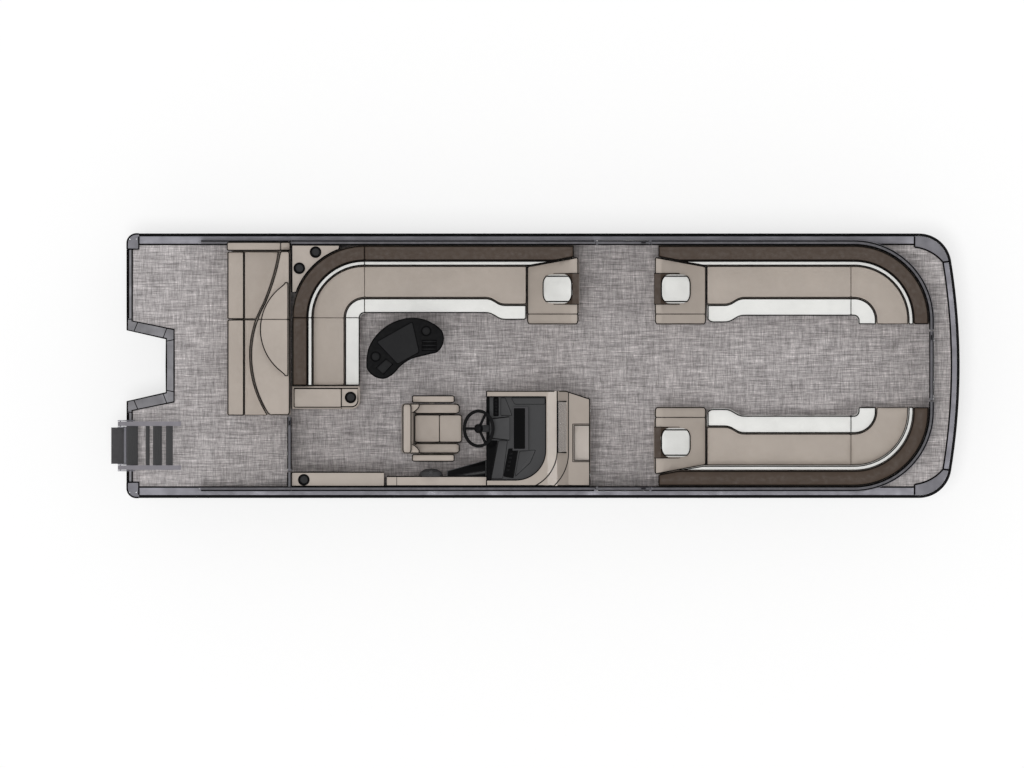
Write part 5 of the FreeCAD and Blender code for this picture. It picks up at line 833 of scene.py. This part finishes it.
def helm_chair():
    """The helm chair's seat, bolsters, arms, wings and back, about its swivel."""
    low, turned = 404, lambda gone: np.interp(gone, (0, 34, 92), (95, 92, 42))

    def cushion(name, leg, corners, *shape, mirror=1, step=24, **values):
        pad("helm_" + name, course(leg), corners, BEIGE, *shape, step=step, body="helm_chair",
            settle=lambda points: points * (1, mirror, 1) + HELM_SWIVEL, **values)

    cushion("centre", (-168, 136, 301, 136), block(0, low, 272, 531), (10, 10, 20, 20),
            (0, 3, 6, 3), (6, 5, 13, 5), seams=(245,), ends=(24, 34), puff=9, group="helm_seat")
    for side, mirror in (("port", 1), ("starboard", -1)):
        cushion("bolster_" + side, (-168, 246, 279, 246), block(0, low, 103, 566, 577),
                (12, 10, 26, 30), (0, 3, 4, 5), (3, 7, 6, 7), ends=(24, 44), puff=7, mirror=mirror,
                group="helm_seat")
        cushion("arm_" + side, (-192, 322, 225, 322), block(0, 652, 68, 692), (10, 10, 16, 16),
                (0, 3, 4, 3), (3, 2, 4, 2), ends=(22, 22), puff=5, mirror=mirror,
                group="helm_arms")
        cushion("wing_" + side, (-208, 247, -116, 247), block(2, 594, turned, 882, 894),
                (8, 10, 20, 22), (0, 3, 3, 2), (4, 8, 4, 8), step=14, ends=(6, 30), puff=5,
                mirror=mirror, group="helm_back", held=(0, 3))
    cushion("back", (-306, -247, -306, 247), [(6, low), (128, low), (130, 690), (123, 702),
            (130, 714), (112, 992), (18, 1003)], (20, 16, 6, 4, 6, 34, 34), (0, 6, 0, 0, 5, 4, 4),
            (5, 9, 1, 1, 9, 5, 14), ends=(40, 40), puff=7, welts=(5, 6), group="helm_back")


# Edgings, welds and fittings. The drawing's dark outlines are black vinyl and rubber edgings.

FENCE_COURSE = course((5139, FENCE_MIDDLE, 7120, FENCE_MIDDLE), (7120, 445, 759, 90, 0),
                      (7879, 445, 7879, 356))


def level_paths(*lines):
    """Paths from pairs of plan points and a height, or a height for each point."""
    paths = []
    for points, height in lines:
        points = np.asarray(points, float)
        paths.append(deck(points[:, 0], points[:, 1], height))
    return paths


def both_sides(paths):
    return paths + [path * (1, -1, 1) for path in paths]


def on_level(height):
    """Sets plates down flat at a height."""
    return lambda u, v, w: deck(u, v, height + w)


def fence_edgings():
    """Black beads along both upper edges of the fences' top rails."""
    sides, stern = [], []
    for offset in (-RAIL_HALF, RAIL_HALF):
        breadth = FENCE_MIDDLE - offset
        gone = np.linspace(0, FENCE_COURSE[0][-1], 90)
        sides += level_paths(([(727, breadth), (1612, breadth)], 400),
                             ([(1614, breadth), (4578, breadth)], FENCE_TOP),
                             (on_course(FENCE_COURSE, gone, offset), FENCE_TOP))
        stern += level_paths(([(1593 + offset, -1044), (1593 + offset, -1182)], FENCE_TOP))
    tubes("fence_edgings", both_sides(sides), 0.0065, EDGING)
    tubes("stern_fence_edgings", stern, 0.0065, EDGING)


def gate_fittings():
    """On each gate: beads on its top rail and a latch at the free end."""
    for name, along in (("port_gate", 0), ("starboard_gate", 0), ("bow_gate", 1),
                        ("stern_gate", 1)):
        low, high = (np.array(corner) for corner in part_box(name + "_frame"))
        across = 1 - along
        paths = np.empty((2, 2, 3))
        paths[..., along] = low[along] + 0.022, high[along] - 0.004
        paths[..., across] = np.array([[low[across] + 0.003], [high[across] - 0.003]])
        paths[..., 2] = high[2]
        tubes(name + "_edgings", paths, 0.0055, EDGING, name)

        def on_rail(u, v, w):
            spots = np.empty((len(u), 3))
            spots[:, along] = high[along] - 0.055 + u / 1000
            spots[:, across] = (low[across] + high[across]) / 2 + v / 1000
            spots[:, 2] = high[2] + w / 1000
            return spots

        plates(name + "_latch", [rectangle(-42, -11, 42, 11, 8)], 7, on_rail, CHARCOAL, name)
        plates(name + "_latch_lever", [rectangle(-30, -6, 18, 6, 5)], 17, on_rail, DARK, name,
               foot=6, edge=4)


def fence_band(name, body, path_at, length):
    """One fence panel's coloured band and its drawn mouldings, on both sides if on the hull.

    The section is a low trapezium that stands out of the panel by the third number of each row.
    """
    gone = np.linspace(0, length, max(2, int(length / 30)))
    for material, foot, top, out, tag in ((ACCENT, 205, 300, 1.2, "band"),
                                          (RAIL, 196, 205, 3.5, "lower_moulding"),
                                          (RAIL, 300, 309, 3.5, "upper_moulding"),
                                          (RAIL, 42, 50, 3.0, "foot_moulding")):
        section = ((0.2, foot), (out, foot + 1), (out, top - 1), (0.2, top))
        sheet = np.stack([deck(*path_at(gone, away).T, height) for away, height in section], 1)
        sheets = both_sides([sheet]) if body == "hull" else [sheet]
        faces = ring_faces(len(gone), 4)
        add_mesh(name + "_" + tag, *join([(sheet.reshape(-1, 3), faces) for sheet in sheets]),
                 material, body, smooth=False)


def fence_bands():
    """The bands on the fixed panels, which follow their plan lines, and on three of the gates."""
    def along_side(start, side=1):
        return lambda gone, away: np.stack(
            (start + gone, np.full(len(gone), side * (PANEL_FACE + away))), 1)

    fence_band("low_panel", "hull", along_side(737), 870)
    fence_band("aft_panel", "hull", along_side(1622), 2948)
    fence_band("bow_panel", "hull", lambda gone, away: on_course(
        FENCE_COURSE, gone, FENCE_MIDDLE - PANEL_FACE - away), FENCE_COURSE[0][-1])
    for name, side in (("port_gate", 1), ("starboard_gate", -1)):
        start, end = ((corner[0] - AFT_EDGE) * 1000 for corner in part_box(name + "_skin"))
        fence_band(name, name, along_side(start, side), end - start)
    start, end = (corner[1] * 1000 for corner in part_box("bow_gate_skin"))
    fence_band("bow_gate", "bow_gate", lambda gone, away: np.stack(
        (np.full(len(gone), 7902.3 + away), start + gone), 1), end - start)


def deck_edgings():
    """Black beads where the deck meets its rails and castings, at their joints and on the rails."""
    cap = np.concatenate(([(119, 1290)], course((95, 1200, 90, 90, 180))[1], [(5, 1141)]))
    sides = level_paths(
        ([(120, 1188), (7713, 1188)], 3), (course((7665.3, 734.6, 430, 83.5, 40.5))[1], 12),
        (course((1805, 0, 6270, 9.305, 0))[1], 3), ([(7713.6, 1162), (7713.6, 1264)], 12),
        (cap, 11), ([(7992.4, 1013.8), (8064, 1022)], 12),
        ([(5, 1141), (119, 1141), (119, 1264)], 12),
        ([(6, 1136), (6, 350), (388, 265), (388, 0)], 3),
        ([(54, 1136), (54, 438), (464, 354), (464, 0)], 3), ([(17, 1134), (17, 462)], 3))
    joints = level_paths(([(6, 452), (55, 458)], 3), ([(72, 340), (108, 424)], 3),
                         ([(358, 276), (392, 366)], 3), ([(387, 240), (466, 256)], 3))
    tubes("deck_edgings", both_sides(sides), 0.008, EDGING, sides=8)
    tubes("stern_trim_joints", both_sides(joints), 0.0042, EDGING)
    rails = level_paths(([(121, 1271), (7712, 1271)], 3))
    tubes("rail_edgings", both_sides(rails), 0.0055, EDGING)


def boxes_edgings():
    """Black piping round the tops of the consoles and arms, and the rings and mats of the cups."""
    rims = [top_rims(label, height)[0] for label, height in (
        ("corner_console", 1.5), ("aft_couch_arm", 1.42), ("side_consoles", 1.44),
        ("side_consoles", 1.48))]
    tubes("console_pipings", rims, 0.006, EDGING, closed=True)
    cups = ((1690, 954, 700), (1849, 1112, 700), (2192, -311, 620), (1734, -1117, 640))
    tubes("cup_rings", level_paths(*((disc(*place, 50, 40), top + 5) for *place, top in cups)),
          0.0065, EDGING, closed=True, sides=8)
    for order, (*place, top) in enumerate(cups):
        plates("cup_mat_%d" % order, [disc(*place, 37)], 3, on_level(top - 72), MAT, edge=1.5,
               foot=0.2)
    tubes("ledge_seams", level_paths(([(2644, -1085), (2644, -1175)], 680.5),
                                     ([(2104, -222), (2104, -424)], 620.5)), 0.0025, EDGING)


def table_edgings():
    """Black beads round the table top and the rims of its recesses, with rubber in the cups."""
    outer, *inner = top_rims("table_top", 1.545)
    plan = outer[:, :2]
    plan = plan + (plan - plan.mean(0)) * 0.006
    tubes("table_edging", [np.c_[plan, np.full(len(plan), 1.541)]], 0.007, EDGING, closed=True)
    tubes("table_recess_edgings", inner, 0.005, EDGING, closed=True)
    inlay = plan_ring([(2796, 430), (2864, 133), (2652, 15), (2446, 233)], 20)
    plates("table_inlay", [inlay], 2, on_level(745), INLAY, edge=1.5)
    tubes("table_inlay_line", level_paths((inlay, 746)), 0.0045, EDGING, closed=True)
    trays = [(loop[:, :2] - (AFT_EDGE, 0)) * 1000 for loop in inner if len(loop) < 24]
    plates("table_tray_mats", [shrunk(tray, 5) for tray in trays], 2, on_level(737), INLAY, edge=1,
           foot=0.2)
    for order, place in enumerate(((2932.1, 339.5), (2436.8, 89.2))):
        plates("table_cup_mat_%d" % order, [disc(*place, 38)], 3, on_level(723), INLAY, edge=1.5,
               foot=0.2)


def console_top(station):
    """The height of the console's outline at a station."""
    return np.interp(station, (3521, 4120, 4215, 4325, 4533), (770, 960, 960, 770, 640))


def on_dash(u, v, w):
    """Points at stations u, breadths v and w above the dash's slope."""
    return deck(u, v, 745 + (u - 3521) * 0.3172 + w)


def console_edgings():
    """Black lines along the console's wing, the dash's rim, the cowl and the front tray."""
    def over(*lines):
        """Paths that follow the console's outline over the straight lines between plan points."""
        steps = [np.concatenate([np.linspace(one, other, 14)
                                 for one, other in zip(line[:-1], line[1:])]) for line in lines]
        return level_paths(*((step, console_top(step[:, 0]) + 0.5) for step in steps))

    corner, cowl, foot = (course(arc)[1] for arc in (
        (3811, -828, 292, 0, -90), (3830, -829, 385, 0, -64), (3880, -850, 445, 0, -47)))
    tubes("console_edgings", over(
        [(3523, -250), (4299, -250)], [(4299, -250), (4531, -327)],
        [(3523, -304), (4103, -304), (4103, -828)], corner, [(3811, -1120), (3523, -1120)],
        [(4215, -250), (4215, -829)], cowl, [(4325, -262), (4325, -850)], foot,
        [(3523, -1174), (4531, -1174)], [(4531, -327), (4531, -1174)],
        [(3523, -250), (3523, -304)], [(3523, -1120), (3523, -1174)]), 0.0055, EDGING)
    tubes("console_tray_edgings", over(*([(4531, -587 + gap), (4383 - gap, -587 + gap),
                                          (4383 - gap, -924 - gap), (4531, -924 - gap)]
                                         for gap in (3, 16))), 0.0042, EDGING)


def dash_fittings():
    """The dash's panels, blank screen and switches, and the column's shroud."""
    black = [[(3592, -312), (3640, -312), (3640, -492), (3592, -492)],
             [(3550, -735), (3632, -735), (3570, -1112), (3550, -1112)],
             [(3523, -306), (3550, -306), (3550, -1118), (3523, -1118)],
             [(3740, -812), (3832, -814), (3786, -1100), (3690, -1082)]]
    grey = [[(3664, -316), (3706, -316), (3772, -486), (3664, -486)],
            [(3768, -316), (4094, -316), (4094, -376), (3800, -376)],
            [(3642, -735), (3726, -735), (3680, -1104), (3572, -1104)],
            [(3848, -838), (4002, -826), (3950, -948), (3804, -1084)]]
    plates("dash_black_panels", [plan_ring(panel, 9) for panel in black], 5, on_dash, GLASS)
    plates("dash_grey_panels", [plan_ring(panel, 14) for panel in grey], 6, on_dash, PANEL_DARK)
    tubes("dash_panel_lines", [on_dash(*plan_ring(panel, 12).T, 2) for panel in grey + black],
          0.0032, EDGING, closed=True)
    plates("dash_screen_bezel", [rectangle(3781, -402, 3930, -828, 16)], 22, on_dash, PLASTIC,
           foot=19)
    plates("dash_screen_glass", [rectangle(3790, -416, 3900, -814, 8)], 24.5, on_dash, GLASS,
           foot=20, edge=1.5)
    keys = [rectangle(3604, y - 12, 3628, y + 12, 4) for y in range(-338, -467, -32)]
    keys += [plan_ring([(x, y), (x + 30, y), (x + 26, y - 22), (x - 4, y - 22)], 4)
             for x, y in zip(range(3752, 3719, -8), range(-850, -1011, -40))]
    plates("dash_switches", keys, 10, on_dash, DARK, foot=4)
    stations, reach, heights = (np.array(ends) for ends in ((3566, 3744), (94, 114), (45, 16)))
    tubes("shroud_edgings", [on_dash(stations, -615 + side * reach, heights) for side in SIDES],
          0.004, EDGING)
    wing = plan_ring([(3138, -1083), (3518, -1083), (3518, -923), (3138, -1031)], 10)
    plates("side_wing_pad", [shrunk(wing, 4)], 684, deck, GLASS, foot=679.5)


def console_fittings():
    """The forward door with its hinges and latch, and the screen's rim."""
    front = lambda u, v, w: deck(4533 + w, u, v)
    door = rectangle(-380, 70, -1090, 560, 40)
    plates("console_door", [door], 6, front, CONSOLE, edge=4)
    tubes("console_door_seal", [front(*shrunk(door, -5).T, 0.5)], 0.004, EDGING, closed=True)
    plates("console_door_latch", [disc(-440, 320, 27)], 12, front, POLISHED, foot=5)
    plates("console_door_hinges", [rectangle(-1082, y, -1058, y + 70, 5) for y in (130, 430)], 10,
           front, POLISHED, foot=5)
    low, high = (np.array(corner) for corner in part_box("windscreen"))
    foot, head = high[0] - 0.003, low[0] + 0.003
    tubes("windscreen_trim", [np.array([(foot, low[1], low[2]), (head, low[1], high[2]),
                                        (head, high[1], high[2]), (foot, high[1], low[2])])],
          0.0065, EDGING, sides=8)


def wheel_fittings():
    """The steering wheel's grips and its domed blank cap, on circles in the wheel's plane."""
    centre, up = np.array((-0.556, -0.615, 1.666)), np.array((-0.57358, 0, 0.81915))
    ahead, side = np.array((0.81915, 0, 0.57358)), np.array((0.0, 1.0, 0.0))

    def circle(radius, angle, rise=0.0):
        angle = angle[:, None]
        return centre + up * rise + radius * (np.cos(angle) * ahead + np.sin(angle) * side)

    tubes("wheel_grips", [circle(0.171, np.radians(np.linspace(start, start + 90, 24)))
                          for start in (75, 195, 315)], 0.0166, RUBBER, "steering_wheel", sides=14)
    domes("wheel_cap", [centre + up * 0.012], up, 0.041, DARK, "steering_wheel", flat=0.42,
          sides=28)
    tubes("wheel_cap_ring", [circle(0.0415, around(32), 0.0135)], 0.0032, EDGING, "steering_wheel",
          closed=True)


def ladder_pads():
    """Ribbed rubber on the ladder's treads."""
    run, out, deep = (np.array(axis) for axis in ((0.515, 0, 0.857), (0.2756, 0, 0.9613),
                                                  (-0.9613, 0, 0.2756)))
    hinge = np.array((AFT_EDGE - 0.062, 0, DECK_TOP + 0.03))
    for order, (gone, depth) in enumerate(((229, 112), (520, 38), (705, 90), (932, 68)), start=1):
        def on_tread(u, v, w):
            return hinge + (run * gone + u[:, None] * (0, 1, 0) + v[:, None] * deep
                            + (12 + w)[:, None] * out) / 1000

        half = depth / 2 - 5
        rows = max(1, int(half * 2 / 16))
        ribs = [rectangle(-958, y, -608, y + 9, 3)
                for y in -half + 2 + np.arange(rows) * (2 * half - 13) / max(1, rows - 1)]
        plates("tread_pad_%d" % order, [rectangle(-966, -half, -600, half, 6)], 2.5, on_tread, MAT,
               "ladder", edge=1.5)
        plates("tread_ribs_%d" % order, ribs, 5, on_tread, MAT, "ladder", edge=1.5, foot=2)


def hull_welds():
    """Welded rings round the tubes, and the seams of the motor pod."""
    turn = around(56)
    tubes("tube_welds", both_sides([
        deck(station, 880 + 317.8 * np.cos(turn), -446.5 + 317.8 * np.sin(turn))
        for station in (150, 1500, 2900, 4300, 5700, 6550)]), 0.0045, MILL, closed=True)
    aft, _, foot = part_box("motor_pod")[0]
    tubes("pod_welds", [np.array([(aft, side * 0.3005, foot), (aft + 0.26, side * 0.3005, foot)])
                        for side in SIDES], 0.006, MILL)


def fastenings():
    """Screw heads along the rub strips and the castings, and bolts through the fence's feet."""
    for side, name in ((1, "port"), (-1, "starboard")):
        domes("rub_screws_" + name, deck(np.arange(200, 7700, 300), side * 1294.5, -47),
              (0, side, 0), 0.0075, POLISHED, flat=0.4)
    spots = [deck(x, side * y, 12) for y in (1140, 1240) for x in (30, 95) for side in SIDES]
    domes("casting_screws", spots, (0, 0, 1), 0.008, POLISHED, flat=0.4)
    feet = [(x, side * FENCE_MIDDLE) for x in (747, 1632, 2601, 3591, 4560, 5153, 6127, 7120)
            for side in SIDES]
    plates("fence_feet", [rectangle(x - 46, y - RAIL_HALF, x + 46, y + RAIL_HALF, 6)
                          for x, y in feet], 8, deck, RAIL, foot=3.2)
    domes("fence_bolts", [deck(x + reach, y, 8) for x, y in feet for reach in (-35, 35)],
          (0, 0, 1), 0.007, POLISHED, flat=0.7, sides=6)


def base_fittings():
    """Speakers, vents and dark toe strips on the couch bases' inner faces."""
    for name, face, side, spot, start, end in (
            ("port", 546, 1, 6500, 5690, 7110), ("starboard", -546, -1, 6500, 5690, 7110),
            ("aft", 572, 1, 3000, 2335, 3910)):
        place = lambda u, v, w: deck(u, face - side * w, v)
        plates(name + "_speaker_ring", [disc(spot, 165, 82, 40)], 9, place, PLASTIC, edge=5)
        plates(name + "_speaker_cloth", [disc(spot, 165, 68, 40)], 11, place, CLOTH, foot=8,
               crown=14)
        plates(name + "_vent_frame", [rectangle(spot - 420, 110, spot - 200, 220, 10)], 5, place,
               PLASTIC)
        plates(name + "_vent_slats", [rectangle(spot - 408, y, spot - 212, y + 8, 3)
                                      for y in range(120, 210, 15)], 9, place, DARK, foot=4)
        plates(name + "_toe_strip", [rectangle(start, 4, end, 52, 4)], 3, place, RUBBER, edge=1.5)


# Light, floor and camera


def white_rays(tree):
    """One for the rays that see the white ground, zero for those that light the boat."""
    path, last = tree.nodes.new("ShaderNodeLightPath"), None
    for kind in ("Camera", "Glossy", "Transmission"):
        ray = path.outputs["Is %s Ray" % kind]
        if last:
            most = tree.nodes.new("ShaderNodeMath")
            most.operation = "MAXIMUM"
            tree.links.new(last, most.inputs[0])
            tree.links.new(ray, most.inputs[1])
            ray = most.outputs[0]
        last = ray
    return last


def stage_set():
    """A pale floor, an even sky and a soft sun; the ground shows white to the camera."""
    scene = bpy.context.scene
    scene.view_settings.view_transform = "Standard"
    world = bpy.data.worlds.new("Sky")
    scene.world = world
    world.use_nodes = True
    tree = world.node_tree
    tree.nodes.clear()
    out, blend = tree.nodes.new("ShaderNodeOutputWorld"), tree.nodes.new("ShaderNodeMixShader")
    tree.links.new(white_rays(tree), blend.inputs[0])
    for socket, strength in zip(blend.inputs[1:], (SKY_LIGHT, 1.0)):
        sky = tree.nodes.new("ShaderNodeBackground")
        sky.inputs[0].default_value = (1, 1, 1, 1)
        sky.inputs[1].default_value = strength
        tree.links.new(sky.outputs[0], socket)
    tree.links.new(blend.outputs[0], out.inputs[0])
    sun = set_up("Sun", bpy.data.lights.new("Sun", "SUN"))
    sun.data.energy = 1.3
    sun.data.angle = math.radians(18)
    sun.rotation_euler = (math.radians(5), math.radians(-4), 0)
    finish = Finish("studio_floor", (1.0, 1.0, 1.0, 1), 0.8, Specular_IOR_Level=0.0)
    finish.relief(finish.noise(6), 0.0005, 0.2)
    glow, lift = finish.add("Emission"), finish.add("MixShader")
    finish.fill(lift, finish.times(white_rays(finish.tree), FLOOR_GLOW), finish.shader.outputs[0],
                glow.outputs[0])
    finish.give(finish.tree.get_output_node("ALL").inputs[0], lift.outputs[0])
    mesh = bpy.data.meshes.new("studio_floor")
    mesh.from_pydata([(-30, -30, 0), (30, -30, 0), (30, 30, 0), (-30, 30, 0)], [], [(0, 1, 2, 3)])
    mesh.materials.append(finish.material)
    set_up("studio_floor", mesh)
    camera = set_up("Camera", bpy.data.cameras.new("Camera"))
    camera.data.type = "ORTHO"
    camera.data.ortho_scale = PLAN_WIDTH
    camera.data.clip_end = 60
    camera.location = (*PLAN_CENTRE, 12)
    scene.camera = camera


# Assembly

dress_cad()
couches()
chaises()
lounge()
helm_chair()
for fit_out in (fence_edgings, gate_fittings, fence_bands, deck_edgings, boxes_edgings,
                table_edgings, console_edgings, dash_fittings, console_fittings, wheel_fittings,
                ladder_pads, hull_welds, fastenings, base_fittings):
    fit_out()
plump()
PIECES = build_pads()
for group, label in (
        ("port_couch_back", "port_couch_back"), ("starboard_couch_back", "starboard_couch_back"),
        ("aft_couch_back", "aft_couch_back"), ("port_couch_facing", "back_facings"),
        ("port_couch_seat", "port_couch_seat"), ("starboard_couch_seat", "starboard_couch_seat"),
        ("aft_couch_seat", "aft_couch_seat"), ("port_couch_band", "seat_front_bands"),
        ("port_chaise_back", "chaise_backs"), ("port_chaise_strap", "chaise_straps"),
        ("port_headrest", "headrests"), ("lounge_back", "lounge_back"),
        ("lounge_seat_port", "lounge_seat"), ("helm_seat", "helm_seat"),
        ("helm_back", "helm_back")):
    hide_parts(label)
stage_set()
